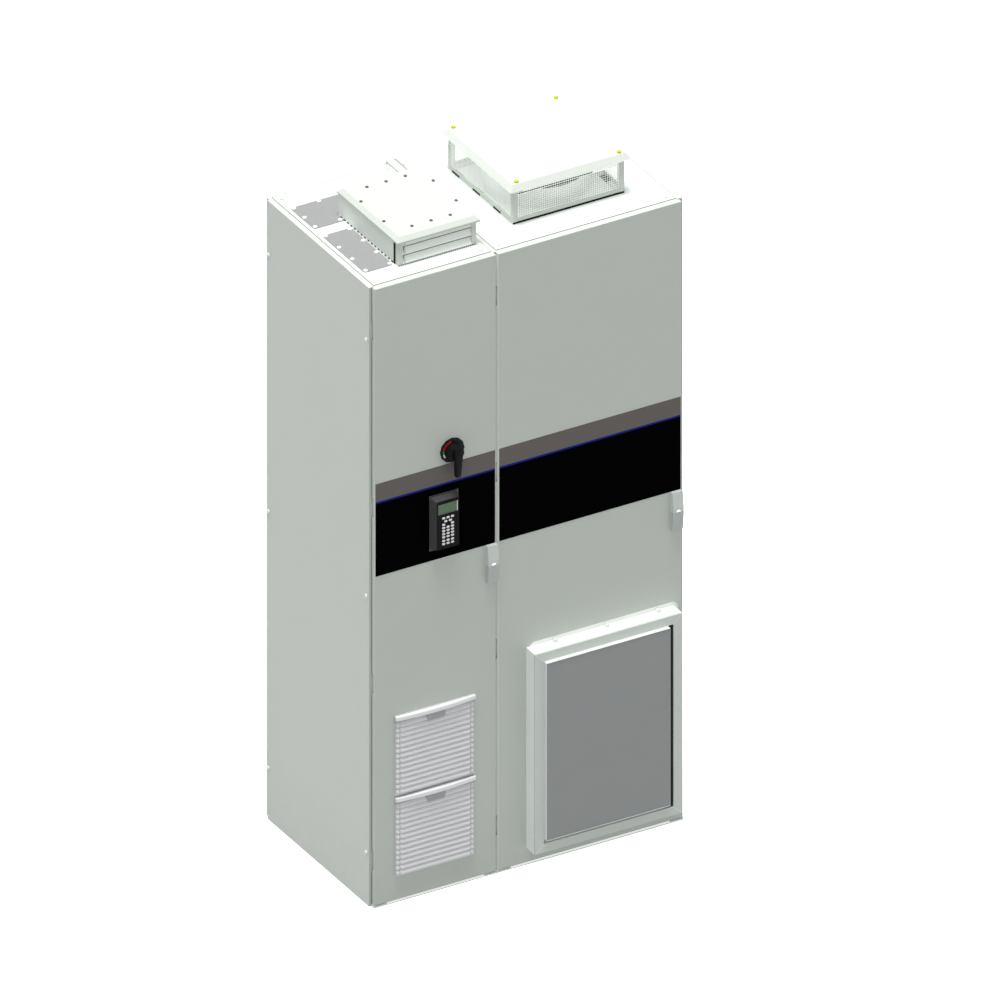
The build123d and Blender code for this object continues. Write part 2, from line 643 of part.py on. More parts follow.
def cage_screen(width):
    """A slotted screen in the XZ plane, centred on the origin."""
    height = CAGE_HEIGHT - 2 * CAGE_RAIL
    columns = int((width - CAGE_SLOT_PITCH) // CAGE_SLOT_PITCH)
    sheet = Rectangle(width, CAGE_HEIGHT)
    slot = Rectangle(CAGE_SLOT_WIDTH, height / 2 - CAGE_SLOT_BRIDGE)
    sheet -= GridLocations(CAGE_SLOT_PITCH, height / 2, columns, 2) * slot
    return Rot(90, 0, 0) * Pos(0, 0, -CAGE_SCREEN / 2) * extrude(sheet, CAGE_SCREEN)


def make_fan_cage():
    """Corner posts, top and bottom rails and four slotted screens around the roof fan."""
    z0, z1 = CAGE_BASE, CAGE_TOP
    cage = block(CAGE_LEFT, CAGE_RIGHT, CAGE_FRONT, CAGE_REAR, z0, z1)
    r = CAGE_RAIL
    cage -= block(CAGE_LEFT + r, CAGE_RIGHT - r, CAGE_FRONT + r, CAGE_REAR - r, z0 - 1, z1 + 1)
    cage -= block(CAGE_LEFT - 1, CAGE_RIGHT + 1, CAGE_FRONT + r, CAGE_REAR - r, z0 + r, z1 - r)
    cage -= block(CAGE_LEFT + r, CAGE_RIGHT - r, CAGE_FRONT - 1, CAGE_REAR + 1, z0 + r, z1 - r)
    s = SHEET
    cage -= block(CAGE_LEFT + s, CAGE_RIGHT - s, CAGE_FRONT + s, CAGE_REAR - s, z0 + s, z1 + 1)
    middle = (z0 + z1) / 2
    inset = SHEET - CAGE_SCREEN / 2
    long_side, short_side = CAGE_RIGHT - CAGE_LEFT - 2 * r, CAGE_REAR - CAGE_FRONT - 2 * r
    for y in (CAGE_FRONT + inset, CAGE_REAR - inset):
        cage += Pos(FAN_X, y, middle) * cage_screen(long_side + r)
    for x in (CAGE_LEFT + inset, CAGE_RIGHT - inset):
        cage += Pos(x, FAN_Y, middle) * Rot(0, 0, 90) * cage_screen(short_side + r)
    return [cage]


def make_cage_lid():
    """A lid with sloped edges on the cage, hollow underneath."""
    o = 2 * CAGE_LID_OVERHANG
    base = Rectangle(CAGE_RIGHT - CAGE_LEFT + o, CAGE_REAR - CAGE_FRONT + o)
    taper = math.degrees(math.atan2(CAGE_LID_SLOPE, CAGE_LID_HEIGHT))
    lid = Pos(FAN_X, FAN_Y, CAGE_TOP) * extrude(base, CAGE_LID_HEIGHT, taper=taper)
    s = SHEET
    lid -= block(CAGE_LEFT + s, CAGE_RIGHT - s, CAGE_FRONT + s, CAGE_REAR - s, CAGE_TOP,
                 CAGE_TOP + CAGE_LID_HEIGHT - s)
    return [lid]


def make_cage_seal():
    """A soft seal between the cage and the roof."""
    w = CAGE_SEAL_WIDTH
    ring = block(CAGE_LEFT, CAGE_RIGHT, CAGE_FRONT, CAGE_REAR, CABINET_HEIGHT, CAGE_BASE)
    ring -= block(CAGE_LEFT + w, CAGE_RIGHT - w, CAGE_FRONT + w, CAGE_REAR - w, CABINET_HEIGHT - 1,
                  CAGE_BASE + 1)
    return [ring]


def make_cage_caps():
    """Four plastic caps over the lid's corner bolts."""
    caps = []
    for x in (CAGE_LEFT + CAGE_CAP_SIDE_INSET, CAGE_RIGHT - CAGE_CAP_SIDE_INSET):
        for y in (CAGE_FRONT + CAGE_CAP_END_INSET, CAGE_REAR - CAGE_CAP_END_INSET):
            z = CAGE_TOP + CAGE_LID_HEIGHT
            cap = rod_z(x, y, z, z + CAGE_CAP_HEIGHT, CAGE_CAP_RADIUS)
            caps.append(fillet(cap.edges().group_by(Axis.Z)[-1], CAGE_CAP_RADIUS * 0.5))
    return caps


def make_fan_stator():
    """Round inlet ring, four arms and the fan motor."""
    z0, z1 = CABINET_HEIGHT, CABINET_HEIGHT + FAN_RING_HEIGHT
    outer = FAN_RADIUS + FAN_RING_WALL
    ring = rod_z(FAN_X, FAN_Y, z0, z1, outer) - rod_z(FAN_X, FAN_Y, z0 - 1, z1 + 1, FAN_RADIUS)
    motor_top = z1 + FAN_MOTOR_HEIGHT / 2
    motor = rod_z(FAN_X, FAN_Y, z1 + 1, motor_top, FAN_MOTOR_RADIUS)
    stator = ring + motor
    for i in range(4):
        arm = block(FAN_MOTOR_RADIUS - 3, outer, -4, 4, z1, z1 + 8)
        stator += Pos(FAN_X, FAN_Y, 0) * Rot(0, 0, 45 + 90 * i) * arm
    bore = FAN_AXLE_RADIUS + FAN_AXLE_CLEARANCE
    stator -= rod_z(FAN_X, FAN_Y, z1, motor_top - 6, bore)
    return [stator]


def make_fan_impeller():
    """Axial fan wheel with tilted blades and a short axle that runs up into the motor."""
    z1 = CABINET_HEIGHT + FAN_RING_HEIGHT
    hub_bottom = CABINET_HEIGHT + 12
    hub = rod_z(FAN_X, FAN_Y, hub_bottom, z1 - 2, FAN_HUB_RADIUS)
    wheel = hub + rod_z(FAN_X, FAN_Y, z1 - 3, z1 + FAN_MOTOR_HEIGHT / 2 - 8, FAN_AXLE_RADIUS)
    tip = FAN_RADIUS - FAN_TIP_GAP
    limit = rod_z(FAN_X, FAN_Y, hub_bottom + 2, z1 - 4, tip)
    for i in range(FAN_BLADES):
        blade = Pos((FAN_HUB_RADIUS + tip) / 2 - 2, 0, 0) * Rot(FAN_BLADE_TILT, 0, 0) * \
            Box(tip - FAN_HUB_RADIUS + 8, 64, 3)
        turned = Rot(0, 0, 360 * i / FAN_BLADES) * blade
        wheel += (Pos(FAN_X, FAN_Y, (hub_bottom + z1) / 2) * turned) & limit
    return [wheel]


# ---- doors ----
def hinge_heights():
    """Heights of the hinges, spread evenly over the door."""
    z0, z1 = DOOR_BOTTOM + HINGE_END_MARGIN, CABINET_HEIGHT - HINGE_END_MARGIN
    return [z0 + i * (z1 - z0) / (HINGE_COUNT - 1) for i in range(HINGE_COUNT)]


def door_tray(edges):
    """A folded door shell with return lips, hinge notches and hinge knuckles."""
    x0, x1 = edges
    shell = block(x0, x1, DOOR_FRONT, DOOR_BACK, DOOR_BOTTOM, CABINET_HEIGHT)
    front_edges = shell.faces().sort_by(Axis.Y)[0].edges()
    shell = fillet(front_edges, DOOR_EDGE_RADIUS)
    z0, z1 = DOOR_BOTTOM + SHEET, CABINET_HEIGHT - SHEET
    shell -= block(x0 + SHEET, x1 - SHEET, DOOR_FRONT + SHEET, DOOR_BACK - SHEET, z0, z1)
    lip = DOOR_LIP
    shell -= block(x0 + lip, x1 - lip, DOOR_BACK - 2 * SHEET, DOOR_BACK + 1, z0 + lip, z1 - lip)
    pin_x = x0 + HINGE_INSET
    reach = HINGE_HALF_HEIGHT + 7
    knuckle_gap = HINGE_HALF_HEIGHT + 2
    hole = HINGE_PIN_RADIUS + HINGE_PIN_CLEARANCE
    for z in hinge_heights():
        shell -= block(x0 - 1, x0 + 28, HINGE_Y + HINGE_PIN_RADIUS, DOOR_BACK + 1, z - reach, z + reach)
        for low in (z - knuckle_gap - 4, z + knuckle_gap):
            shell += block(x0 + SHEET / 2, pin_x + 4.5, DOOR_FRONT + SHEET / 2, HINGE_Y + 3.5, low, low + 4)
        shell -= rod_z(pin_x, HINGE_Y, z - reach + 0.5, z + reach - 0.5, hole)
    return shell


def latch_edges(door):
    """Left and right edge of the latch that sits at a door's free edge."""
    right = door[1] + LATCH_EDGE_OFFSET * (1 if door is LEFT_DOOR else -1)
    return right - LATCH_WIDTH, right


def latch_centre(door):
    x0, x1 = latch_edges(door)
    return (x0 + x1) / 2


def lock_bar_centre(door):
    """The lock bar runs inside the door's free edge, in line with the latch spindle."""
    return latch_centre(door)


def latch_cutout(door):
    """Opening in the door sheet for the latch gearbox."""
    x = latch_centre(door)
    half = GEARBOX_NECK_WIDTH / 2 + GEARBOX_CLEARANCE
    reach = GEARBOX_HEIGHT / 2 + GEARBOX_CLEARANCE
    return block(x - half, x + half, DOOR_FRONT - 1, DOOR_FRONT + SHEET, LATCH_Z - reach, LATCH_Z + reach)


def grille_cutout(z0):
    """Opening in the left door behind one grille."""
    m = GRILLE_CUTOUT_MARGIN
    z1 = z0 + GRILLE_HEIGHT
    return block(GRILLE_LEFT + m, GRILLE_RIGHT - m, DOOR_FRONT - 1, DOOR_BACK + 1, z0 + m, z1 - m)


def keypad_cutout():
    """Opening in the left door for the back of the keypad."""
    half = KEYPAD_BEZEL_WIDTH / 2 - KEYPAD_CUTOUT_MARGIN
    return (KEYPAD_X - half, KEYPAD_X + half,
            KEYPAD_BOTTOM + KEYPAD_CUTOUT_MARGIN, KEYPAD_TOP - KEYPAD_CUTOUT_MARGIN)


def make_left_door():
    """Input-bay door: two air inlets, keypad opening, switch hole and latch opening."""
    shell = door_tray(LEFT_DOOR)
    for z0 in GRILLE_BOTTOMS:
        shell -= grille_cutout(z0)
    x0, x1, z0, z1 = keypad_cutout()
    shell -= block(x0, x1, DOOR_FRONT - 1, DOOR_FRONT + SHEET + 1, z0, z1)
    shell -= rod_y(SWITCH_X, DOOR_FRONT - 1, DOOR_FRONT + SHEET + 1, SWITCH_Z, HANDLE_BOSS_RADIUS + 1)
    return [shell - latch_cutout(LEFT_DOOR)]


def box_opening():
    """Clear opening of the filter box, seen from the front."""
    m = BOX_OPENING_MARGIN
    return BOX_LEFT + m, BOX_RIGHT - m, BOX_BOTTOM + m, BOX_TOP - m


def make_right_door():
    """Power-bay door: one large air inlet and the latch opening."""
    shell = door_tray(RIGHT_DOOR)
    x0, x1, z0, z1 = box_opening()
    shell -= block(x0, x1, DOOR_FRONT - 1, DOOR_BACK + 1, z0, z1)
    return [shell - latch_cutout(RIGHT_DOOR)]


def make_gaskets():
    """Door seals, glued to the front of each bay's frame."""
    rings = []
    for x0, x1 in ((X_LEFT, X_BAY), (X_BAY, X_RIGHT)):
        a, b = x0 + GASKET_INSET, x1 - GASKET_INSET
        y0, y1 = DOOR_BACK + TOUCH_GAP, FRAME_FRONT
        low, high = GASKET_INSET, FRAME_TOP - GASKET_INSET
        w = GASKET_WIDTH
        ring = block(a, b, y0, y1, low, high)
        rings.append(ring - block(a + w, b - w, y0 - 1, y1 + 1, low + w, high - w))
    return rings


def make_hinge_pins():
    """Goose-neck hinge arms on the frame, each with its pin."""
    hinges = []
    for door in (LEFT_DOOR, RIGHT_DOOR):
        x = door[0] + HINGE_INSET
        arm_x = x + HINGE_ARM_REACH
        arm_front, arm_back = HINGE_Y - HINGE_ARM_OFFSET, HINGE_Y - HINGE_ARM_OFFSET + HINGE_ARM_THICKNESS
        h = HINGE_HALF_HEIGHT
        for z in hinge_heights():
            pin = rod_z(x, HINGE_Y, z - h - 6, z + h + 6, HINGE_PIN_RADIUS)
            arm = block(x - 0.5, arm_x + HINGE_NECK, arm_front, arm_back, z - h, z + h)
            neck = block(arm_x, arm_x + HINGE_NECK, arm_front, FRAME_FRONT, z - h, z + h)
            hinges.append(pin + arm + neck)
    return hinges


def make_banner(door):
    """Thin decorative strip across one door, cut round the keypad."""
    x0, x1 = door[0] + BANNER_INSET, door[1] - BANNER_INSET
    strip = block(x0, x1, DOOR_FRONT - BANNER_THICKNESS, DOOR_FRONT, BANNER_BOTTOM, BANNER_TOP)
    if door is LEFT_DOOR:
        half = KEYPAD_BEZEL_WIDTH / 2 + TOUCH_GAP
        strip -= block(KEYPAD_X - half, KEYPAD_X + half, DOOR_FRONT - 2, DOOR_FRONT + 1,
                       KEYPAD_BOTTOM - TOUCH_GAP, KEYPAD_TOP + TOUCH_GAP)
        strip -= rod_y(SWITCH_X, DOOR_FRONT - 2, DOOR_FRONT + 1, SWITCH_Z, ESCUTCHEON_RADIUS + 1)
    return [strip]


# ---- latches ----
def make_latch_housing(door):
    """Latch base on the door face, gearbox behind it and two guides for the lock bar."""
    x0, x1 = latch_edges(door)
    x = latch_centre(door)
    base = upright_plate(x0, x1, LATCH_BOTTOM, LATCH_TOP, LATCH_BASE_FRONT, DOOR_FRONT, 5)
    neck, reach = GEARBOX_NECK_WIDTH / 2, GEARBOX_HEIGHT / 2
    gearbox = block(x - neck, x + neck, DOOR_FRONT, DOOR_FRONT + SHEET, LATCH_Z - reach, LATCH_Z + reach)
    half = LOCK_BAR_WIDTH / 2 + GEARBOX_WALL
    back = DOOR_BACK - SHEET - GEARBOX_CLEARANCE
    box = block(x - half, x + half - 1, DOOR_FRONT + SHEET, back, LATCH_Z - reach, LATCH_Z + reach)
    housing = base + gearbox + box
    housing -= lock_bar_slot(door)
    spindle = SPINDLE_RADIUS + SPINDLE_CLEARANCE
    housing -= rod_y(x, LATCH_BASE_FRONT - 1, LOCK_BAR_FRONT - 0.5, LATCH_Z, spindle)
    guides = []
    tall = BAR_GUIDE_HEIGHT / 2
    for z in (CABINET_HEIGHT / 4, CABINET_HEIGHT * 3 / 4):
        guide = block(x - half, x + half - 1, DOOR_FRONT + SHEET, back, z - tall, z + tall)
        guides.append(guide - lock_bar_slot(door))
    return [housing] + guides


def lock_bar_slot(door):
    """Running space for the lock bar."""
    x = lock_bar_centre(door)
    half, c = LOCK_BAR_WIDTH / 2, LOCK_BAR_CLEARANCE
    return block(x - half - c, x + half + c, LOCK_BAR_FRONT - c, LOCK_BAR_FRONT + LOCK_BAR_THICKNESS + c,
                 DOOR_BOTTOM, CABINET_HEIGHT)


def make_latch_lever(door):
    """The turning handle: bulged in the middle, with a spindle that runs into the gearbox."""
    x0, x1 = latch_edges(door)
    x = latch_centre(door)
    front = LATCH_LEVER_BACK - LATCH_LEVER_DEPTH
    lever = upright_plate(x0, x1, LATCH_BOTTOM, LATCH_TOP, front, LATCH_LEVER_BACK, 5)
    slope = LATCH_LEVER_DEPTH - 4
    for sign in (-1, 1):
        z_end = LATCH_TOP if sign > 0 else LATCH_BOTTOM
        tilt = math.degrees(math.atan2(slope, (LATCH_TOP - LATCH_BOTTOM) / 2 - 14))
        wedge = Pos(x, front, z_end) * Rot(-sign * tilt, 0, 0) * Box(2 * LATCH_WIDTH, 2 * slope, 110)
        limit = block(x0 - 5, x1 + 5, front - 20, LATCH_LEVER_BACK - 3,
                      min(LATCH_Z + sign * 14, z_end + sign * 9), max(LATCH_Z + sign * 14, z_end + sign * 9))
        lever -= wedge & limit
    lever += rod_y(x, LATCH_LEVER_BACK - 1, LOCK_BAR_FRONT - 1.5, LATCH_Z, SPINDLE_RADIUS)
    pocket = front + LOCK_BUTTON_BODY + LOCK_BUTTON_TRAVEL + SPINDLE_CLEARANCE
    lever -= rod_y(x, front - 1, pocket, LATCH_Z, LOCK_BUTTON_RADIUS + SPINDLE_CLEARANCE)
    return [lever]


def make_lock_button(door):
    """Round push button in the middle of the latch lever."""
    front = LATCH_LEVER_BACK - LATCH_LEVER_DEPTH
    proud = LOCK_BUTTON_PROUD
    button = rod_y(latch_centre(door), front - proud, front + LOCK_BUTTON_BODY, LATCH_Z, LOCK_BUTTON_RADIUS)
    return [fillet(button.edges().group_by(Axis.Y)[0], 0.6)]


def make_lock_bar(door):
    """Long flat bar that slides inside the door when the latch turns."""
    x = lock_bar_centre(door)
    half = LOCK_BAR_WIDTH / 2
    bar = block(x - half, x + half, LOCK_BAR_FRONT, LOCK_BAR_FRONT + LOCK_BAR_THICKNESS,
                DOOR_BOTTOM + LOCK_BAR_END, CABINET_HEIGHT - LOCK_BAR_END - LOCK_BAR_TRAVEL)
    return [bar]


# ---- keypad ----
def key_places():
    """Centres of the 25 keys on the keypad face, as (x, z), top row first."""
    outer, inner = KEY_COLUMN_PITCH, KEY_INNER_PITCH
    rows = [(1214, (-outer, 0, outer)), (1203, (-inner, inner)), (1193, (-outer, outer))]
    rows += [(1183 - 10 * i, (-outer, 0, outer)) for i in range(4)]
    rows += [(1141 - 10 * i, (-outer, 0, outer)) for i in range(2)]
    offset = KEYPAD_BOTTOM - 1104.0
    return [(KEYPAD_X + dx, z + offset) for z, columns in rows for dx in columns]


def keypad_front():
    return DOOR_FRONT - KEYPAD_DEPTH


def oval(length, width, depth):
    """An oval button blank, standing along Z."""
    return extrude(SlotOverall(length, width), depth)


def key_solid(x, z, grow=0.0, proud=KEY_PROUD, depth=KEY_BODY_DEPTH):
    """One oval key whose face stands proud of the keypad front."""
    y_back = keypad_front() + depth
    blank = oval(KEY_LENGTH + 2 * grow, KEY_WIDTH + 2 * grow, depth + proud)
    return Pos(x, y_back, z) * Rot(90, 0, 0) * blank


def make_keypad_bezel():
    """Flat black frame between the keypad and the door."""
    half = KEYPAD_BEZEL_WIDTH / 2
    front = DOOR_FRONT - KEYPAD_BEZEL_DEPTH
    bezel = upright_plate(KEYPAD_X - half, KEYPAD_X + half, KEYPAD_BOTTOM, KEYPAD_TOP, front, DOOR_FRONT, 4)
    x0, x1, z0, z1 = keypad_cutout()
    return [bezel - block(x0, x1, front - 1, DOOR_FRONT + 1, z0, z1)]


def make_keypad_housing():
    """Tapered keypad body with a rear box that plugs through the door, and a pocket for each key."""
    half = KEYPAD_BEZEL_WIDTH / 2 - KEYPAD_HOUSING_INSET
    z0, z1 = KEYPAD_BOTTOM + KEYPAD_HOUSING_INSET, KEYPAD_TOP - KEYPAD_HOUSING_INSET
    base_y = DOOR_FRONT - KEYPAD_BEZEL_DEPTH
    middle = (z0 + z1) / 2
    t = KEYPAD_TAPER
    back = Pos(KEYPAD_X, base_y, middle) * Rot(90, 0, 0) * RectangleRounded(2 * half, z1 - z0, 6)
    front = Pos(KEYPAD_X, keypad_front(), middle) * Rot(90, 0, 0) * \
        RectangleRounded(2 * (half - t), z1 - z0 - 2 * t, 5)
    body = loft([back, front])
    x0, x1, low, high = keypad_cutout()
    body += block(x0 + 0.5, x1 - 0.5, base_y - 1, DOOR_FRONT + KEYPAD_REAR_DEPTH, low + 0.5, high - 0.5)
    x0, x1 = KEYPAD_X - DISPLAY_WIDTH / 2, KEYPAD_X + DISPLAY_WIDTH / 2
    body -= block(x0, x1, keypad_front() - 1, keypad_front() + 2 * DISPLAY_PANEL_THICKNESS,
                  DISPLAY_BOTTOM, DISPLAY_TOP)
    for x, z in key_places():
        body -= key_solid(x, z, KEY_CLEARANCE, 1.0, KEY_BODY_DEPTH + KEY_TRAVEL + 0.5)
    return [body]


def make_display():
    """The display panel, set just below the keypad face."""
    front = keypad_front() + DISPLAY_PANEL_THICKNESS
    return [block(KEYPAD_X - DISPLAY_WIDTH / 2, KEYPAD_X + DISPLAY_WIDTH / 2, front,
                  front + DISPLAY_PANEL_THICKNESS, DISPLAY_BOTTOM, DISPLAY_TOP)]


def make_keys(first, last):
    """A run of keys from the list of places."""
    return [key_solid(x, z) for x, z in key_places()[first:last]]


# ---- main switch ----
def make_escutcheon():
    """Twelve-sided dial ring behind the switch handle."""
    ring = extrude(RegularPolygon(ESCUTCHEON_RADIUS, 12), ESCUTCHEON_DEPTH)
    ring = chamfer(ring.edges().group_by(Axis.Z)[-1], 2)
    ring = Pos(SWITCH_X, DOOR_FRONT, SWITCH_Z) * Rot(90, 0, 0) * ring
    hole = HANDLE_BOSS_RADIUS + HANDLE_CLEARANCE
    return [ring - rod_y(SWITCH_X, ESCUTCHEON_FRONT - 1, DOOR_FRONT + 1, SWITCH_Z, hole)]


def make_handle():
    """Rotary handle with a straight lever, and a socket boss that reaches through the door."""
    front = HANDLE_BACK - HANDLE_HUB_DEPTH
    hub = rod_y(SWITCH_X, front, HANDLE_BACK, SWITCH_Z, HANDLE_HUB_RADIUS)
    hub = fillet(hub.edges().group_by(Axis.Y)[0], 3)
    lever_front = front - 14
    lever_back = lever_front + HANDLE_LEVER_DEPTH
    top, heel, tip = HANDLE_LEVER_HEEL, HANDLE_LEVER_WIDTH / 2, HANDLE_LEVER_TIP_WIDTH / 2
    outline = Polyline((-heel, top), (heel, top), (tip, -HANDLE_LEVER_LENGTH), (-tip, -HANDLE_LEVER_LENGTH),
                       close=True)
    lever = extrude(make_face(outline), lever_back - lever_front)
    lever = fillet(lever.edges().group_by(Axis.Z)[-1], 3)
    lever = Pos(SWITCH_X, lever_back, SWITCH_Z) * Rot(90, 0, 0) * lever
    boss_back = DOOR_BACK + 1
    boss = rod_y(SWITCH_X, HANDLE_BACK - 1, boss_back, SWITCH_Z, HANDLE_BOSS_RADIUS)
    handle = hub + lever + boss
    socket = rod_y(SWITCH_X, boss_back - 8, boss_back + 1, SWITCH_Z, SHAFT_RADIUS + HANDLE_CLEARANCE)
    return [handle - socket]


def make_shaft():
    """Extension shaft from the switch towards the door handle."""
    tip = DOOR_BACK + 1 + SHAFT_TIP_GAP
    shaft = rod_y(SWITCH_X, tip, switch_front() + 20, SWITCH_Z, SHAFT_RADIUS)
    return [chamfer(shaft.edges().group_by(Axis.Y)[0], 1)]


def switch_front():
    return PLATE_FRONT - SWITCH_BODY_DEPTH


def phase_places():
    """X of each phase, centred on the main switch."""
    return [SWITCH_X + (i - (PHASES - 1) / 2) * PHASE_PITCH for i in range(PHASES)]


def make_switch():
    """Moulded load-break switch on the mounting plate, with terminals above and below."""
    x0, x1 = SWITCH_X - SWITCH_BODY_WIDTH / 2, SWITCH_X + SWITCH_BODY_WIDTH / 2
    half = SWITCH_BODY_HEIGHT / 2
    front = switch_front()
    body = block(x0, x1, front + 18, PLATE_FRONT, SWITCH_Z - half, SWITCH_Z + half)
    body += block(x0 + 15, x1 - 15, front, front + 20, SWITCH_Z - 70, SWITCH_Z + 70)
    for x in phase_places():
        for z in (SWITCH_Z - half, SWITCH_Z + half - 30):
            body -= block(x - 17, x + 17, front + 10, PLATE_FRONT - 40, z - 1, z + 31)
    body -= rod_y(SWITCH_X, front - 1, front + 30, SWITCH_Z, SHAFT_RADIUS + SPINDLE_CLEARANCE)
    return [body]


def make_fuses():
    """Three cartridge fuses on insulating bases, below the switch."""
    solids = []
    base_front = PLATE_FRONT - FUSE_BASE_DEPTH
    y = base_front - BUSBAR_THICKNESS - FUSE_RADIUS
    for x in phase_places():
        base = block(x - 18, x + 18, base_front, PLATE_FRONT, FUSE_Z - 75, FUSE_Z + 75)
        body = rod_z(x, y, FUSE_Z - FUSE_LENGTH / 2, FUSE_Z + FUSE_LENGTH / 2, FUSE_RADIUS)
        blade = block(x - 12, x + 12, base_front - BUSBAR_THICKNESS, base_front, FUSE_Z - 70, FUSE_Z + 70)
        solids += [base, body, blade]
    return solids


def make_busbars():
    """Phase bars from the switch to the fuses, DC bars beside the power module, and the earth bar."""
    bars = []
    y1 = PLATE_FRONT - 45
    for x in phase_places():
        low, high = FUSE_Z + 75, SWITCH_Z - SWITCH_BODY_HEIGHT / 2 + 28
        half = BUSBAR_WIDTH / 2
        bars.append(block(x - half, x + half, y1 - BUSBAR_THICKNESS, y1, low, high))
    for i in range(2):
        x = MODULE_RIGHT + 24 + i * 34
        bars.append(block(x, x + BUSBAR_THICKNESS, PLATE_FRONT - 100, PLATE_FRONT, MODULE_BOTTOM, MODULE_TOP))
    bars.append(block(X_LEFT + POST + 20, X_RIGHT - POST - 20, PLATE_FRONT - 60, PLATE_FRONT - 54, 70, 100))
    for x in (X_LEFT + POST + 40, X_BAY + 60, X_RIGHT - POST - 60):
        bars.append(block(x, x + 20, PLATE_FRONT - 54, FRAME_REAR - POST, 70, 100))
    return bars


def make_reactor_core():
    """Three-limb laminated core of the line reactor, on two feet."""
    x0, x1 = SWITCH_X - REACTOR_WIDTH / 2, SWITCH_X + REACTOR_WIDTH / 2
    y0, y1 = PLATE_FRONT - REACTOR_DEPTH - 30, PLATE_FRONT - 30
    z0, z1 = REACTOR_BOTTOM, REACTOR_BOTTOM + REACTOR_HEIGHT
    core = block(x0, x1, y0, y1, z0, z1)
    window = (REACTOR_WIDTH - 3 * REACTOR_LIMB) / 2
    for i in range(2):
        left = x0 + REACTOR_LIMB + i * (window + REACTOR_LIMB)
        core -= block(left, left + window, y0 - 1, y1 + 1, z0 + REACTOR_LIMB, z1 - REACTOR_LIMB)
    for x in (x0, x1 - 30):
        core += block(x, x + 30, y1, PLATE_FRONT, z0, z0 + 30)
        core += block(x, x + 30, y1, PLATE_FRONT, z1 - 30, z1)
    return [core]


def make_reactor_coils():
    """One winding on each limb of the core."""
    y0, y1 = PLATE_FRONT - REACTOR_DEPTH - 30, PLATE_FRONT - 30
    z0, z1 = REACTOR_BOTTOM + REACTOR_LIMB + 2, REACTOR_BOTTOM + REACTOR_HEIGHT - REACTOR_LIMB - 2
    pitch = (REACTOR_WIDTH - REACTOR_LIMB) / 2
    coils = []
    for i in range(3):
        x = SWITCH_X + (i - 1) * pitch
        gap = REACTOR_LIMB / 2 + REACTOR_COIL_GAP
        build = gap + REACTOR_COIL_BUILD
        coil = block(x - build, x + build, y0 - REACTOR_COIL_BUILD, y1 + REACTOR_COIL_BUILD, z0, z1)
        coil = fillet(coil.edges().filter_by(Axis.Z), 8)
        hole = block(x - gap, x + gap, y0 - REACTOR_COIL_GAP, y1 + REACTOR_COIL_GAP, z0 - 1, z1 + 1)
        coils.append(coil - hole)
    return coils


# ---- power bay equipment ----
def module_front():
    return PLATE_FRONT - MODULE_DEPTH


def make_plates():
    """Galvanised mounting plate of each bay, on the rear posts."""
    plates = []
    for x0, x1 in ((X_LEFT, X_BAY), (X_BAY, X_RIGHT)):
        plates.append(block(x0 + 10, x1 - 10, PLATE_FRONT, PLATE_FRONT + PLATE_THICKNESS,
                            PLATE_END_MARGIN, CABINET_HEIGHT - PLATE_END_MARGIN))
    return plates


def make_module_chassis():
    """Open-fronted sheet housing of the power module."""
    w = MODULE_WALL
    chassis = block(MODULE_LEFT, MODULE_RIGHT, module_front(), PLATE_FRONT, MODULE_BOTTOM, MODULE_TOP)
    chassis -= block(MODULE_LEFT + w, MODULE_RIGHT - w, module_front() - 1, PLATE_FRONT - w,
                     MODULE_BOTTOM - 1, MODULE_TOP + 1)
    return [chassis]


def make_heatsink():
    """Finned aluminium heatsink at the back of the power module."""
    x0, x1 = MODULE_LEFT + MODULE_WALL, MODULE_RIGHT - MODULE_WALL
    y1 = PLATE_FRONT - MODULE_WALL
    y0 = y1 - HEATSINK_DEPTH
    z0, z1 = MODULE_BOTTOM + 30, MODULE_BOTTOM + 30 + HEATSINK_HEIGHT
    fins = Rectangle(x1 - x0, HEATSINK_BASE)
    pitch = (x1 - x0 - HEATSINK_FIN_THICKNESS) / (HEATSINK_FINS - 1)
    fin = Rectangle(HEATSINK_FIN_THICKNESS, HEATSINK_DEPTH - HEATSINK_BASE)
    for i in range(HEATSINK_FINS):
        offset = -(x1 - x0 - HEATSINK_FIN_THICKNESS) / 2 + i * pitch
        fins += Pos(offset, HEATSINK_DEPTH / 2) * fin
    return [Pos((x0 + x1) / 2, y0 + HEATSINK_BASE / 2, z0) * extrude(fins, z1 - z0)]


def make_igbts():
    """Three power semiconductor modules on the heatsink."""
    y1 = PLATE_FRONT - MODULE_WALL - HEATSINK_DEPTH
    z = MODULE_BOTTOM + 30 + HEATSINK_HEIGHT / 2
    middle = (MODULE_LEFT + MODULE_RIGHT) / 2
    modules = []
    for i in range(PHASES):
        x = middle + (i - 1) * (IGBT_WIDTH + 20)
        half, front = IGBT_WIDTH / 2, y1 - IGBT_DEPTH
        body = block(x - half, x + half, front, y1, z - IGBT_HEIGHT / 2, z + IGBT_HEIGHT / 2)
        body -= block(x - half - 1, x + half + 1, front - 1, front + IGBT_STEP_DEPTH,
                      z - IGBT_STEP_HALF_HEIGHT, z + IGBT_STEP_HALF_HEIGHT)
        modules.append(body)
    return modules


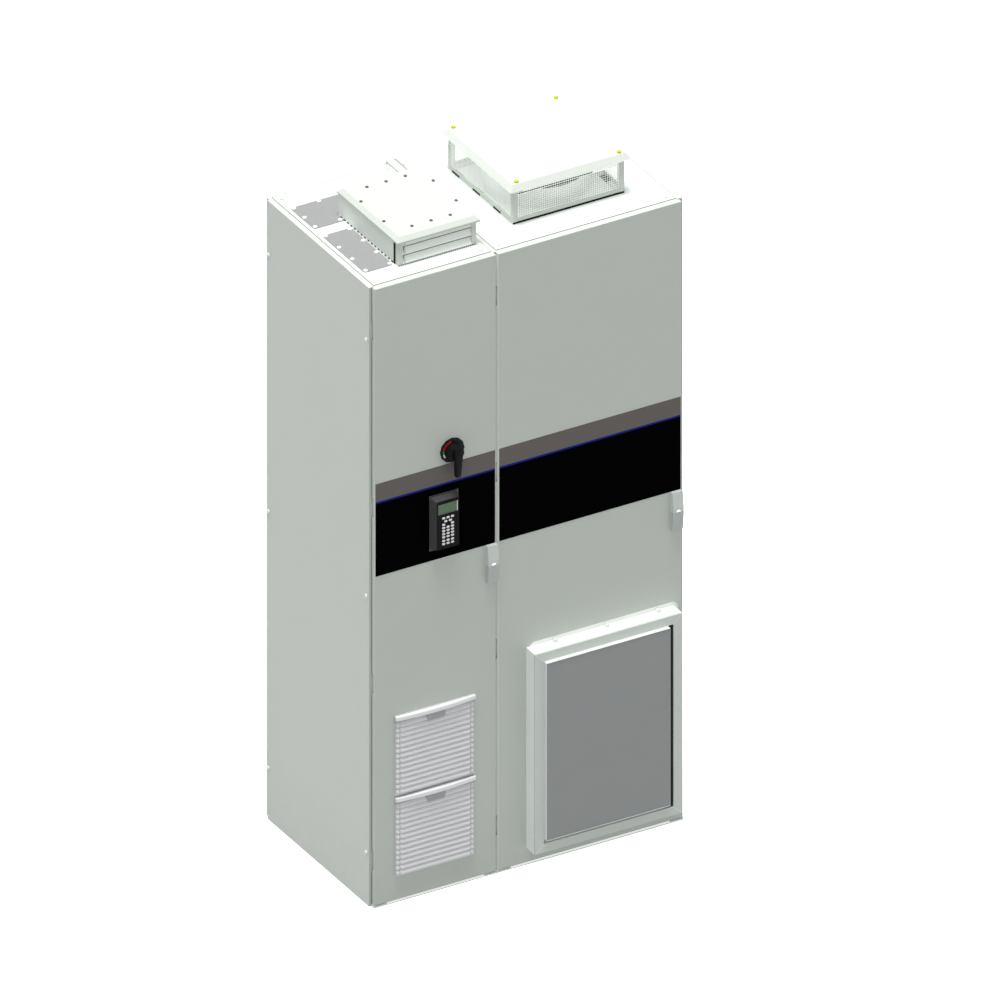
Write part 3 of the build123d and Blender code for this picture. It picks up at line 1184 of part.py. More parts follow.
def make_capacitors():
    """DC-link capacitors standing out from the back of the power module."""
    y1 = PLATE_FRONT - MODULE_WALL
    middle = (MODULE_LEFT + MODULE_RIGHT) / 2
    z0 = MODULE_TOP - 60 - (CAPACITOR_ROWS - 1) * CAPACITOR_PITCH
    cans = []
    for row in range(CAPACITOR_ROWS):
        for column in range(CAPACITOR_COLUMNS):
            x = middle + (column - (CAPACITOR_COLUMNS - 1) / 2) * CAPACITOR_PITCH
            can = rod_y(x, y1 - CAPACITOR_LENGTH, y1, z0 + row * CAPACITOR_PITCH, CAPACITOR_RADIUS)
            cans.append(fillet(can.edges().group_by(Axis.Y)[0], 3))
    return cans


def make_board():
    """Control circuit board with its main components, on four standoffs in front of the module."""
    x0, x1 = MODULE_LEFT + 30, MODULE_RIGHT - 30
    y = module_front() + 60
    z0, z1 = MODULE_BOTTOM + 60, MODULE_BOTTOM + 400
    board = block(x0, x1, y, y + BOARD_THICKNESS, z0, z1)
    for dx, dz, w, h, d in BOARD_COMPONENTS:
        board += block(x0 + dx, x0 + dx + w, y - d, y + 0.5, z0 + dz, z0 + dz + h)
    for side, inner in ((MODULE_LEFT + MODULE_WALL, x0), (x1, MODULE_RIGHT - MODULE_WALL)):
        for z in (z0 + 20, z1 - 40):
            board += block(side, inner, y, y + BOARD_STANDOFF, z, z + 20)
    return [board]


# ---- air inlet grilles and filters ----
def make_grille(z0):
    """Louvre cover hinged on its rounded bottom edge: rim, sloped slats and a deeper visor on top."""
    z1 = z0 + GRILLE_HEIGHT
    front = DOOR_FRONT - GRILLE_DEPTH
    cover = block(GRILLE_LEFT, GRILLE_RIGHT, front, DOOR_FRONT, z0, z1)
    cover = fillet(cover.edges().filter_by(Axis.X).group_by(Axis.Z)[0], GRILLE_EDGE_RADIUS)
    r = GRILLE_RIM
    cover -= block(GRILLE_LEFT + r, GRILLE_RIGHT - r, front - 1, DOOR_FRONT + 1, z0 + r, z1 - r - 2)
    pitch = (GRILLE_HEIGHT - 2 * r - 2) / GRILLE_SLATS
    length = GRILLE_RIGHT - GRILLE_LEFT - 2 * r + 2
    for i in range(GRILLE_SLATS):
        slat = Rot(90 - GRILLE_SLAT_TILT, 0, 0) * Box(length, pitch * 1.05, GRILLE_SLAT_THICKNESS)
        slat &= Box(length, GRILLE_DEPTH - 0.4, pitch * 1.2)
        cover += Pos((GRILLE_LEFT + GRILLE_RIGHT) / 2, DOOR_FRONT - GRILLE_DEPTH / 2,
                     z0 + r + (i + 0.5) * pitch) * slat
    visor = block(GRILLE_LEFT, GRILLE_RIGHT, DOOR_FRONT - GRILLE_VISOR_DEPTH, DOOR_FRONT,
                  z1 - GRILLE_VISOR_HEIGHT, z1)
    return [cover + fillet(visor.edges().filter_by(Axis.X).group_by(Axis.Y)[0], 3)]


def make_inlet_mats():
    """Fibre filter mats in the two openings of the left door."""
    mats = []
    m = GRILLE_CUTOUT_MARGIN + INLET_MAT_CLEARANCE
    for z0 in GRILLE_BOTTOMS:
        mats.append(block(GRILLE_LEFT + m, GRILLE_RIGHT - m, DOOR_FRONT, DOOR_FRONT + INLET_MAT_DEPTH,
                          z0 + m, z0 + GRILLE_HEIGHT - m))
    return mats


def box_front():
    return DOOR_FRONT - BOX_DEPTH


def box_casing_front():
    return box_front() + BOX_FRAME_DEPTH


def make_box_casing():
    """Filter box walls and the mounting flange that lies on the door."""
    walls = block(BOX_LEFT, BOX_RIGHT, box_casing_front(), DOOR_FRONT, BOX_BOTTOM, BOX_TOP)
    walls -= block(BOX_LEFT + SHEET, BOX_RIGHT - SHEET, box_casing_front() - 1, DOOR_FRONT + 1,
                   BOX_BOTTOM + SHEET, BOX_TOP - SHEET)
    thin = BOX_FLANGE_THICKNESS
    flange = upright_plate(BOX_FLANGE_LEFT, BOX_FLANGE_RIGHT, BOX_TOP - 2 * BOX_FLANGE_RADIUS,
                           BOX_TOP + BOX_FLANGE_RISE, DOOR_FRONT - thin, DOOR_FRONT, BOX_FLANGE_RADIUS - 1)
    back = block(BOX_LEFT, BOX_RIGHT, DOOR_FRONT - thin, DOOR_FRONT, BOX_BOTTOM, BOX_TOP)
    x0, x1, z0, z1 = box_opening()
    opening = block(x0, x1, DOOR_FRONT - BOX_DEPTH, DOOR_FRONT + 1, z0, z1)
    casing = walls + flange + (back - opening)
    for x in box_screw_places():
        casing -= rod_z(x, box_screw_y(), BOX_TOP - SHEET - 1, BOX_TOP + 1, PANEL_SCREW_SHANK + 0.1)
    return [casing - opening]


def box_screw_places():
    """Thumb screw centres, evenly spaced and a little right of the box's middle."""
    middle = (BOX_LEFT + BOX_RIGHT) / 2 + BOX_SCREW_SHIFT
    step = BOX_SCREW_SPAN / (BOX_SCREW_COUNT - 1)
    return [middle + (i - (BOX_SCREW_COUNT - 1) / 2) * step for i in range(BOX_SCREW_COUNT)]


def box_screw_y():
    return DOOR_FRONT - BOX_SCREW_RADIUS - BOX_SCREW_GAP


def make_box_screws():
    """Thumb screws on top of the filter box that hold the lift-off frame."""
    screws = []
    for x in box_screw_places():
        head = rod_z(x, box_screw_y(), BOX_TOP, BOX_TOP + 9, BOX_SCREW_RADIUS)
        head = fillet(head.edges().group_by(Axis.Z)[-1], 4)
        screws.append(head + rod_z(x, box_screw_y(), BOX_TOP - 8, BOX_TOP, PANEL_SCREW_SHANK))
    return screws


def make_box_frame():
    """Picture frame hinged on its rounded bottom edge, with a lip and a ledge that carry the mat."""
    front, back = box_front(), box_casing_front() - BOX_HINGE_GAP
    frame = block(BOX_LEFT, BOX_RIGHT, front, back, BOX_BOTTOM, BOX_TOP)
    bottom_edges = frame.edges().filter_by(Axis.X).group_by(Axis.Z)[0]
    frame = fillet(bottom_edges, BOX_FRAME_EDGE_RADIUS - BOX_HINGE_GAP / 2)
    x0, x1, z0, z1 = box_opening()
    frame -= block(x0, x1, front - 1, back + 1, z0, z1)
    ledge_front = front + BOX_MAT_DEPTH
    lip_back = ledge_front + SHEET
    lip = block(x0 - SHEET, x1 + SHEET, back - 1, lip_back, z0 - SHEET, z1 + SHEET)
    lip -= block(x0, x1, back - 2, ledge_front, z0, z1)
    lip -= block(x0 + BOX_LEDGE, x1 - BOX_LEDGE - BOX_MAT_GAP_RIGHT, ledge_front - 1, lip_back + 1,
                 z0 + BOX_LEDGE + BOX_MAT_GAP_BOTTOM, z1 - BOX_LEDGE)
    return [frame + lip]


def make_box_mat():
    """Thick filter mat, pushed into the frame against its top left corner, and proud of its front."""
    x0, x1, z0, z1 = box_opening()
    c = BOX_MAT_CLEARANCE
    front = box_front() - BOX_MAT_PROUD
    return [block(x0 + c, x1 - BOX_MAT_GAP_RIGHT, front, box_front() + BOX_MAT_DEPTH,
                  z0 + BOX_MAT_GAP_BOTTOM, z1 - c)]


# ---- write every node ----
os.makedirs("parts", exist_ok=True)
NODES = {
    "frame_left_bay": make_frame("left"),
    "frame_right_bay": make_frame("right"),
    "side_panel_left": make_side_panel(-1),
    "side_panel_right": make_side_panel(1),
    "rear_panels": make_rear_panels(),
    "roof_plate_left": make_roof_plate_left(),
    "roof_plate_right": make_roof_plate_right(),
    "gland_plates": make_gland_plates(),
    "panel_screws": make_panel_screws(),
    "baying_bracket": make_bracket(),
    "exhaust_hood_casing": make_hood_casing(),
    "exhaust_hood_lid": make_hood_lid(),
    "exhaust_hood_louvre": make_hood_louvre(),
    "fan_cage": make_fan_cage(),
    "fan_cage_lid": make_cage_lid(),
    "fan_cage_seal": make_cage_seal(),
    "fan_cage_caps": make_cage_caps(),
    "roof_fan_stator": make_fan_stator(),
    "roof_fan_impeller": make_fan_impeller(),
    "door_gaskets": make_gaskets(),
    "hinge_pins": make_hinge_pins(),
    "mounting_plates": make_plates(),
    "disconnect_switch": make_switch(),
    "line_fuses": make_fuses(),
    "line_reactor_core": make_reactor_core(),
    "line_reactor_coils": make_reactor_coils(),
    "power_module_chassis": make_module_chassis(),
    "heatsink": make_heatsink(),
    "igbt_modules": make_igbts(),
    "dc_capacitors": make_capacitors(),
    "control_board": make_board(),
    "busbars": make_busbars(),
    "left_door_shell": make_left_door(),
    "left_door_banner": make_banner(LEFT_DOOR),
    "keypad_bezel": make_keypad_bezel(),
    "keypad_housing": make_keypad_housing(),
    "keypad_display": make_display(),
    "keypad_keys": make_keys(0, 22) + make_keys(23, 24),
    "keypad_stop_key": make_keys(22, 23),
    "keypad_start_key": make_keys(24, 25),
    "left_latch_housing": make_latch_housing(LEFT_DOOR),
    "left_latch_lever": make_latch_lever(LEFT_DOOR),
    "left_lock_button": make_lock_button(LEFT_DOOR),
    "left_lock_bar": make_lock_bar(LEFT_DOOR),
    "disconnect_escutcheon": make_escutcheon(),
    "disconnect_handle": make_handle(),
    "disconnect_shaft": make_shaft(),
    "filter_grille_lower": make_grille(GRILLE_BOTTOMS[0]),
    "filter_grille_upper": make_grille(GRILLE_BOTTOMS[1]),
    "inlet_filter_mats": make_inlet_mats(),
    "right_door_shell": make_right_door(),
    "right_door_banner": make_banner(RIGHT_DOOR),
    "right_latch_housing": make_latch_housing(RIGHT_DOOR),
    "right_latch_lever": make_latch_lever(RIGHT_DOOR),
    "right_lock_button": make_lock_button(RIGHT_DOOR),
    "right_lock_bar": make_lock_bar(RIGHT_DOOR),
    "filter_box_casing": make_box_casing(),
    "filter_box_screws": make_box_screws(),
    "filter_box_frame": make_box_frame(),
    "filter_box_mat": make_box_mat(),
}
for node, shapes in NODES.items():
    save(node, shapes)
print(len(NODES), "nodes written")
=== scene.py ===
import math

import bpy
import numpy as np
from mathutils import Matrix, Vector


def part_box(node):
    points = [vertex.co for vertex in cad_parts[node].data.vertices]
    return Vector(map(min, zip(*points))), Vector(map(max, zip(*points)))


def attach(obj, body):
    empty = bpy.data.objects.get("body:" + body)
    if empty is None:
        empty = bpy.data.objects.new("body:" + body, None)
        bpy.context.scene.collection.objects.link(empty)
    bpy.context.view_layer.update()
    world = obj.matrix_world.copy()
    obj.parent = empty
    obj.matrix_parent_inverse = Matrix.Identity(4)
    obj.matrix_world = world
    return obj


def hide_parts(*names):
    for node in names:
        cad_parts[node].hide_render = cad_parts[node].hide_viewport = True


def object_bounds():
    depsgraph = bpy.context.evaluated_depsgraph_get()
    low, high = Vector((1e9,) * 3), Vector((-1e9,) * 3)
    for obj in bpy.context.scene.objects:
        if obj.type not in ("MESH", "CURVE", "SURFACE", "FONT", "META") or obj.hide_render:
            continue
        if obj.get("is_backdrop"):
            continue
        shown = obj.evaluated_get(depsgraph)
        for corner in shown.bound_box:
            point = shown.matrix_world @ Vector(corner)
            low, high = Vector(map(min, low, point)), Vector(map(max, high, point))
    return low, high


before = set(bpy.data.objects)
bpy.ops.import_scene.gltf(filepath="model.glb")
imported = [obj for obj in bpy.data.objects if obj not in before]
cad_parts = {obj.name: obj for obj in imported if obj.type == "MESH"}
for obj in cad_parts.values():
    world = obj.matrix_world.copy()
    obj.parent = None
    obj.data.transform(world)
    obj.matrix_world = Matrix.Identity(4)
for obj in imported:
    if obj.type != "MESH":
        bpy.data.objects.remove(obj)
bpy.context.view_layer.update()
MM = 0.001


# ---- shader maths ----
class Value:
    """A node socket. Operators on it add Math nodes, or Vector Math nodes where it is a vector."""

    def __init__(self, finish, socket, vector=False):
        self.finish, self.socket, self.vector = finish, socket, vector

    def sum_node(self, operation, *terms):
        kind = "VectorMath" if self.vector else "Math"
        inputs = dict(enumerate(terms))
        return self.finish.add(kind, {"operation": operation}, inputs, vector=self.vector)

    def __add__(self, other):
        return self.sum_node("ADD", self, other)

    def __sub__(self, other):
        return self.sum_node("SUBTRACT", self, other)

    def __rsub__(self, other):
        return self.sum_node("SUBTRACT", other, self)

    def __mul__(self, other):
        return self.sum_node("MULTIPLY", self, other)

    def __truediv__(self, other):
        return self.sum_node("DIVIDE", self, other)

    def __abs__(self):
        return self.sum_node("ABSOLUTE", self)

    def __mod__(self, other):
        return self.sum_node("FLOORED_MODULO", self, other)

    def __lt__(self, other):
        return self.sum_node("LESS_THAN", self, other)

    def __gt__(self, other):
        return self.sum_node("GREATER_THAN", self, other)

    def __and__(self, other):
        return self.sum_node("MULTIPLY", self, other)

    def __or__(self, other):
        return self.sum_node("MAXIMUM", self, other)

    __radd__ = __add__
    __rmul__ = __mul__

    def least(self, other):
        return self.sum_node("MINIMUM", self, other)

    def to(self, operation, *others):
        return self.sum_node(operation, self, *others)

    def between(self, low, high):
        """1 where the value lies between two numbers, 0 elsewhere."""
        return (self > low) & (self < high)

    def ramp(self, low, high, start=0.0, end=1.0):
        """A straight slope from start at low to end at high, held flat beyond them."""
        return self.finish.add("MapRange", {"clamp": True}, {0: self, 1: low, 2: high, 3: start, 4: end})


class Finish:
    """A material under construction: one Principled shader, with Object coordinates at hand."""

    def __init__(self, name):
        self.material = bpy.data.materials.new(name)
        self.material.use_nodes = True
        self.tree = self.material.node_tree
        self.shader = self.tree.nodes["Principled BSDF"]
        self.place = self.add("TexCoord", {}, {}, out="Object", vector=True)
        split = self.add("SeparateXYZ", {}, {0: self.place})
        self.x, self.y, self.z = (Value(self, split.socket.node.outputs[i]) for i in range(3))

    def feed(self, socket, value):
        if isinstance(value, Value):
            self.tree.links.new(value.socket, socket)
        elif hasattr(socket.default_value, "__len__"):
            size = len(socket.default_value)
            parts = tuple(value) if hasattr(value, "__len__") else (value,) * min(size, 3)
            socket.default_value = parts + (1.0,) * (size - len(parts))
        else:
            socket.default_value = value

    def add(self, kind, settings, inputs, out=0, vector=False):
        node = self.tree.nodes.new("ShaderNode" + kind)
        for key, setting in settings.items():
            setattr(node, key, setting)
        for key, value in inputs.items():
            self.feed(node.inputs[key], value)
        return Value(self, node.outputs[out], vector)

    def noise(self, size, detail=2.0, stretch=(1, 1, 1), rough=0.5):
        """Smooth noise from 0 to 1, with features of the given size in metres."""
        place = self.place * tuple(s / size for s in stretch)
        return self.add("TexNoise", {}, {"Vector": place, "Scale": 1.0, "Detail": detail, "Roughness": rough})

    def cells(self, size, feature="F1", out="Distance", stretch=(1, 1, 1)):
        """Cell pattern with cells of the given size in metres."""
        place = self.place * tuple(s / size for s in stretch)
        return self.add("TexVoronoi", {"feature": feature}, {"Vector": place, "Scale": 1.0}, out=out)

    def mix(self, mask, a, b):
        """Colour a where mask is 0 and colour b where it is 1."""
        node = self.add("Mix", {"data_type": "RGBA"}, {0: mask, 6: a, 7: b}, out=2)
        return node

    def tint(self, colour, mask, amount):
        """The colour made lighter and darker by the mask, by the given share of itself."""
        low = tuple(c * (1 - amount) for c in colour)
        high = tuple(min(1.0, c * (1 + amount)) for c in colour)
        return self.mix(mask, low, high)

    def bump(self, height, depth):
        """Raises the surface by height, from 0 to 1, times depth in metres."""
        if "Bump" in self.tree.nodes:
            last = Value(self, self.tree.nodes["Bump"].outputs[0])
            node = self.add("Bump", {}, {"Height": height, "Distance": depth, "Normal": last})
        else:
            node = self.add("Bump", {}, {"Height": height, "Distance": depth})
            node.socket.node.name = "Bump"
        self.feed(self.shader.inputs["Normal"], node)

    def done(self, **sockets):
        for key, value in sockets.items():
            self.feed(self.shader.inputs[key.replace("_", " ").title().replace("Ior", "IOR")], value)
        return self.material


# ---- finishes ----
PAINT = (0.598, 0.634, 0.582)


def powder_coat(name, colour=PAINT, cover=None, glow=None, strength=0.0):
    """Fine orange peel, faint mottling and dust low down. cover(finish, colour) may add a mark, and
    glow(finish) says which faces get the given emission, to stand in for flat, even lighting."""
    f = Finish(name)
    cloud = f.noise(0.35, 3)
    base = f.tint(colour, cloud, 0.02)
    grime = f.z.ramp(0.0, 0.25, 0.35, 0.0) * f.noise(0.05, 4)
    base = f.mix(grime, base, tuple(c * 0.72 for c in colour))
    if cover:
        base = cover(f, base)
    peel = f.noise(0.0022, 2)
    f.bump(peel, 0.00005)
    gloss = 0.42 + cloud * 0.1 + peel * 0.08
    if glow:
        lit = f.mix(glow(f), (0.0, 0.0, 0.0), (0.97, 1.0, 0.97))
        f.done(emission_color=lit, emission_strength=strength)
    return f.done(base_color=base, roughness=gloss, specular_ior_level=0.3)


def moulded(name, colour, rough=0.5, grain=0.0006, level=0.3, cover=None):
    """Moulded plastic: a spark-eroded skin of tiny cells, with faint flow marks."""
    f = Finish(name)
    flow = f.noise(0.03, 3, stretch=(1, 1, 3))
    base = f.tint(colour, flow, 0.08)
    if cover:
        base = cover(f, base)
    skin = f.cells(grain)
    f.bump(skin, 0.00003)
    return f.done(base_color=base, roughness=rough + flow * 0.12, specular_ior_level=level)


def zinc(name, colour, metal=0.7, rough=0.45, contrast=0.13):
    """Galvanised sheet: flat crystals of differing tone, 6 mm across, and roller streaks."""
    f = Finish(name)
    shade = f.add("SeparateColor", {}, {0: f.cells(0.006, out="Color")})
    streak = f.noise(0.004, 2, stretch=(1, 0.08, 0.08))
    tone = shade * 0.6 + streak * 0.4
    f.bump(tone, 0.00002)
    return f.done(base_color=f.tint(colour, tone, contrast), metallic=metal, roughness=rough + tone * 0.15)


def machined(name, colour, rough=0.3, stretch=(1, 0.03, 1), metal=1.0):
    """Bare metal with fine parallel tool marks and a few darker stains."""
    f = Finish(name)
    marks = f.noise(0.0008, 2, stretch=stretch)
    stain = f.noise(0.02, 4).ramp(0.55, 0.75)
    base = f.mix(stain * 0.35, f.tint(colour, marks, 0.1), tuple(c * 0.55 for c in colour))
    f.bump(marks, 0.00001)
    return f.done(base_color=base, metallic=metal, roughness=rough + marks * 0.2)


def rubber():
    """Black seal with a speckled dusty skin."""
    f = Finish("seal_rubber")
    dust = f.noise(0.004, 5).ramp(0.5, 0.8)
    f.bump(f.cells(0.0012), 0.00008)
    return f.done(base_color=f.mix(dust * 0.5, (0.008, 0.008, 0.009), (0.05, 0.05, 0.05)),
                  roughness=0.8, specular_ior_level=0.15)


def dashed_seal(name, along, period, share, gap_colour, solid=None):
    """Seal that shows black only in dashes along one axis, between patches of sealant. The front run
    of the node named by solid is black throughout."""
    f = Finish(name)
    run = getattr(f, along)
    dash = ((run + 10.0) % period) < period * share
    if solid:
        dash = dash | (f.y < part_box(solid)[0].y + 1 * MM)
    base = f.mix(dash, gap_colour, (0.006, 0.006, 0.007))
    f.bump(f.noise(0.002, 3), 0.00008)
    return f.done(base_color=base, roughness=0.7 + f.noise(0.003) * 0.1, specular_ior_level=0.15)


def banner_film(name, node):
    """Printed film: black field, thin blue line and a warm grey band along the top."""
    low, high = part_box(node)
    f = Finish(name)
    line = high.z - 64 * MM
    fibre = f.noise(0.0008, 2, stretch=(0.05, 1, 1))
    band = f.tint((0.188, 0.173, 0.160), fibre, 0.10)
    black = f.tint((0.0003, 0.0003, 0.0003), f.noise(0.05), 0.3)
    base = f.mix(f.z > line, black, (0.022, 0.026, 0.26))
    base = f.mix(f.z > line + 6 * MM, base, band)
    f.bump(f.noise(0.0015, 2), 0.00002)
    return f.done(base_color=base, roughness=0.6 + fibre * 0.1, specular_ior_level=0.004)


def dial_ring():
    """Black dial with red, green and white arcs round the knob, by angle and radius."""
    low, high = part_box("disconnect_escutcheon")
    middle = (low + high) / 2
    f = Finish("dial_print")
    dx, dz = f.x - middle.x, f.z - middle.z
    radius = (dx * dx + dz * dz).to("SQRT")
    angle = dz.to("ARCTAN2", dx) * (180 / math.pi)
    angle = (angle + 360.0) % 360.0
    track = radius.between(27.5 * MM, 32 * MM)
    base = f.tint((0.008, 0.008, 0.0085), f.noise(0.01), 0.2)
    ticks = ((angle % 15.0) < 2.0) & radius.between(34 * MM, 36 * MM)
    base = f.mix(ticks, base, (0.09, 0.09, 0.09))
    for start, end, colour in ((98, 170, (0.80, 0.012, 0.02)), (172, 190, (0.01, 0.42, 0.05)),
                               (192, 216, (0.8, 0.8, 0.8))):
        base = f.mix(track & angle.between(start, end), base, colour)
    f.bump(f.cells(0.0006), 0.00003)
    return f.done(base_color=base, roughness=0.5 + f.noise(0.01) * 0.1, specular_ior_level=0.06)


def liquid_crystal():
    """Green display: a fine grid of dots, a little cloudy, behind a clear film."""
    f = Finish("display_glass")
    pitch = 0.7 * MM
    grid = ((f.x + 1.0) % pitch > pitch * 0.14) & (f.z % pitch > pitch * 0.14)
    base = f.mix(grid, (0.048, 0.110, 0.045), f.tint((0.064, 0.148, 0.062), f.noise(0.02), 0.05))
    f.bump(grid, 0.00001)
    return f.done(base_color=base, roughness=0.3 + f.noise(0.01) * 0.1, specular_ior_level=0.3)


def keypad_shell():
    """Dark grey case whose front face is a black membrane with a faint emboss."""
    low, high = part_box("keypad_housing")
    f = Finish("keypad_case")
    film = f.y < low.y + 0.4 * MM
    case = f.tint((0.075, 0.073, 0.075), f.noise(0.02, 3), 0.1)
    f.bump(f.cells(0.0005), 0.00003)
    return f.done(base_color=f.mix(film, case, (0.004, 0.004, 0.0045)), roughness=0.5 + f.noise(0.004) * 0.15,
                  specular_ior_level=0.05)


def fleece(name, colour):
    """Matted fibres: two crossed sets of stretched noise over a coarse lump pattern."""
    f = Finish(name)
    across = f.noise(0.0022, 3, stretch=(0.15, 1, 1), rough=0.7)
    down = f.noise(0.0022, 3, stretch=(1, 1, 0.15), rough=0.7)
    lump = f.noise(0.02, 4)
    fibre = across * 0.5 + down * 0.5
    f.bump(fibre, 0.0006)
    f.bump(lump, 0.001)
    tone = fibre * 0.7 + lump * 0.3
    return f.done(base_color=f.tint(colour, tone, 0.16), roughness=0.9 + tone * 0.08, specular_ior_level=0.1)


def cassette_net():
    """Grey filter fabric behind a fine diagonal net."""
    f = Finish("filter_net")
    pitch = 3.2 * MM
    one = abs(((f.x + f.z + 10.0) % pitch) / pitch - 0.5)
    two = abs(((f.x - f.z + 10.0) % pitch) / pitch - 0.5)
    net = (one > 0.38) | (two > 0.38)
    cloth = f.tint((0.425, 0.438, 0.432), f.noise(0.0015, 3, rough=0.7), 0.12)
    f.bump(net, 0.0003)
    f.bump(f.noise(0.0012, 3), 0.0003)
    base = f.mix(net * 0.35, cloth, (0.50, 0.51, 0.505))
    return f.done(base_color=base, roughness=0.85 + f.noise(0.01) * 0.1, specular_ior_level=0.1)


def grille_skin():
    """Light moulded louvres: painted shade as a grey band in the recess under the visor, and painted shade
    with dust deep between the slats.
    """
    low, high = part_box("filter_grille_lower")
    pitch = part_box("filter_grille_upper")[0].z - low.z
    f = Finish("louvre_plastic")
    height = (f.z - low.z) % pitch
    tall = high.z - low.z
    # Painted shade: the flat recess under the visor is coloured grey.
    recess = height.between(tall - 21 * MM, tall - 13.2 * MM)
    # Painted shade mixed with dust: the slats darken towards their deepest part.
    deep = f.y.ramp(high.y - 6.5 * MM, high.y - 3.5 * MM)
    skin = f.tint((0.88, 0.875, 0.88), f.noise(0.02, 3), 0.03)
    skin = f.mix(deep * 0.5, skin, (0.34, 0.34, 0.34))
    skin = f.mix(recess, skin, f.tint((0.43, 0.43, 0.43), f.noise(0.01), 0.05))
    f.bump(f.cells(0.0007), 0.00003)
    return f.done(base_color=skin, roughness=0.5 + f.noise(0.01) * 0.12, specular_ior_level=0.3)


def mitre_highlights(f, base):
    """Folded-sheet frame: a fine painted highlight runs in from each corner at 45 degrees, along the mitre
    fold.
    """
    low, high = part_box("filter_box_frame")
    across = (f.x - low.x).least(high.x - f.x)
    up = (f.z - low.z).least(high.z - f.z)
    line = (abs(across - up) < 0.9 * MM) & (across < 28.4 * MM)
    # Painted highlight: the fold lines are near white on the front face.
    return f.mix(line & (f.y < low.y + 3 * MM), base, (0.95, 0.97, 0.95))


def circuit_green():
    """Solder mask over a maze of tracks, with bright pads."""
    f = Finish("solder_mask")
    cell = f.add("SeparateColor", {}, {0: f.cells(0.008, out="Color")})
    track = (((f.x + f.z * (cell * 2.0 - 1.0) + 10.0) % 0.0024) > 0.0013) & (cell > 0.3)
    pad = f.cells(0.006) < 0.16
    base = f.mix(track, (0.01, 0.12, 0.045), (0.02, 0.2, 0.08))
    f.bump(track, 0.00005)
    return f.done(base_color=f.mix(pad, base, (0.75, 0.73, 0.68)), roughness=0.35 + f.noise(0.01) * 0.1,
                  metallic=pad * 0.8)


def coil_wire():
    """Varnished round wire, one turn every 4 mm."""
    f = Finish("coil_wire")
    turn = (f.z * (2 * math.pi / (4 * MM))).to("SINE") * 0.5 + 0.5
    f.bump(turn, 0.0006)
    base = f.mix(turn, (0.16, 0.06, 0.02), f.tint((0.55, 0.22, 0.07), f.noise(0.01), 0.15))
    return f.done(base_color=base, roughness=0.35 + f.noise(0.006) * 0.2, metallic=turn * 0.5)


def laminations():
    """Stacked core plates, one every 1.5 mm from front to back, under brown-black varnish."""
    f = Finish("core_plates")
    plate = (f.y * (2 * math.pi / (1.5 * MM))).to("SINE") * 0.5 + 0.5
    f.bump(plate, 0.0002)
    base = f.mix(f.noise(0.02, 4).ramp(0.4, 0.7), (0.09, 0.09, 0.1), (0.16, 0.12, 0.09))
    return f.done(base_color=base, roughness=0.45 + plate * 0.15, metallic=0.6)


def capacitor_sleeve():
    """Dark blue shrink sleeve on an aluminium can, with a bare crimped end."""
    low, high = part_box("dc_capacitors")
    f = Finish("capacitor_sleeve")
    bare = f.y < low.y + 8 * MM
    wrinkle = f.noise(0.003, 3, stretch=(1, 0.2, 1))
    f.bump(wrinkle, 0.0001)
    base = f.mix(bare, f.tint((0.012, 0.03, 0.10), wrinkle, 0.15), (0.6, 0.61, 0.63))
    return f.done(base_color=base, metallic=bare * 0.9, roughness=0.32 + wrinkle * 0.15)


def screw_heads(f, base):
    """Screws in the hood lid are dark, those of the roof plates plain zinc, the others painted."""
    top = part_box("gland_plates")[1].z
    base = f.mix(f.z.between(top - 4 * MM, top), base, (0.34, 0.36, 0.35))
    return f.mix(f.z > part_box("exhaust_hood_lid")[1].z - 2 * MM, base, (0.09, 0.12, 0.12))


def sheet_edge(node):
    """A thin shadow line round the edge of one roof plate."""
    low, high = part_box(node)
    middle, half = (low + high) / 2, (high - low) / 2

    def cover(f, base):
        edge = (abs(f.x - middle.x) > half.x - 1.6 * MM) | (abs(f.y - middle.y) > half.y - 1.6 * MM)
        return f.mix(edge, base, (0.30, 0.31, 0.30))
    return cover


def sill_top_glow(f):
    """The narrow ledge of the sill, just in front of and below the doors. It gets a painted glow, so it stays
    light in the doors' shadow.
    """
    return f.z.between(2.6 * MM, 3.4 * MM) & (f.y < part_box("left_door_shell")[1].y)


def bay_gap_glow(f):
    """The left edge of the right door, deep in the gap between the doors, which gets a painted glow against
    the shade there.
    """
    return f.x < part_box("right_door_shell")[0].x + 0.5 * MM


def lock_glint(f):
    """The part of a lock button above its middle."""
    low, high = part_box("left_lock_button")
    return f.z > (low.z + high.z) / 2 + 1 * MM


def lock_face(f, base):
    """The lock button is bright above its middle, where the bow catches the light."""
    return f.mix(lock_glint(f), base, (0.95, 0.95, 0.95))


def everywhere(f):
    """Every face above the floor."""
    return f.z > 0.0


def latch_shade(f, base):
    """The lower half of a latch leans back from the light."""
    low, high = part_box("left_latch_lever")
    return f.mix(f.z < (low.z + high.z) / 2, base, (0.53, 0.565, 0.535))


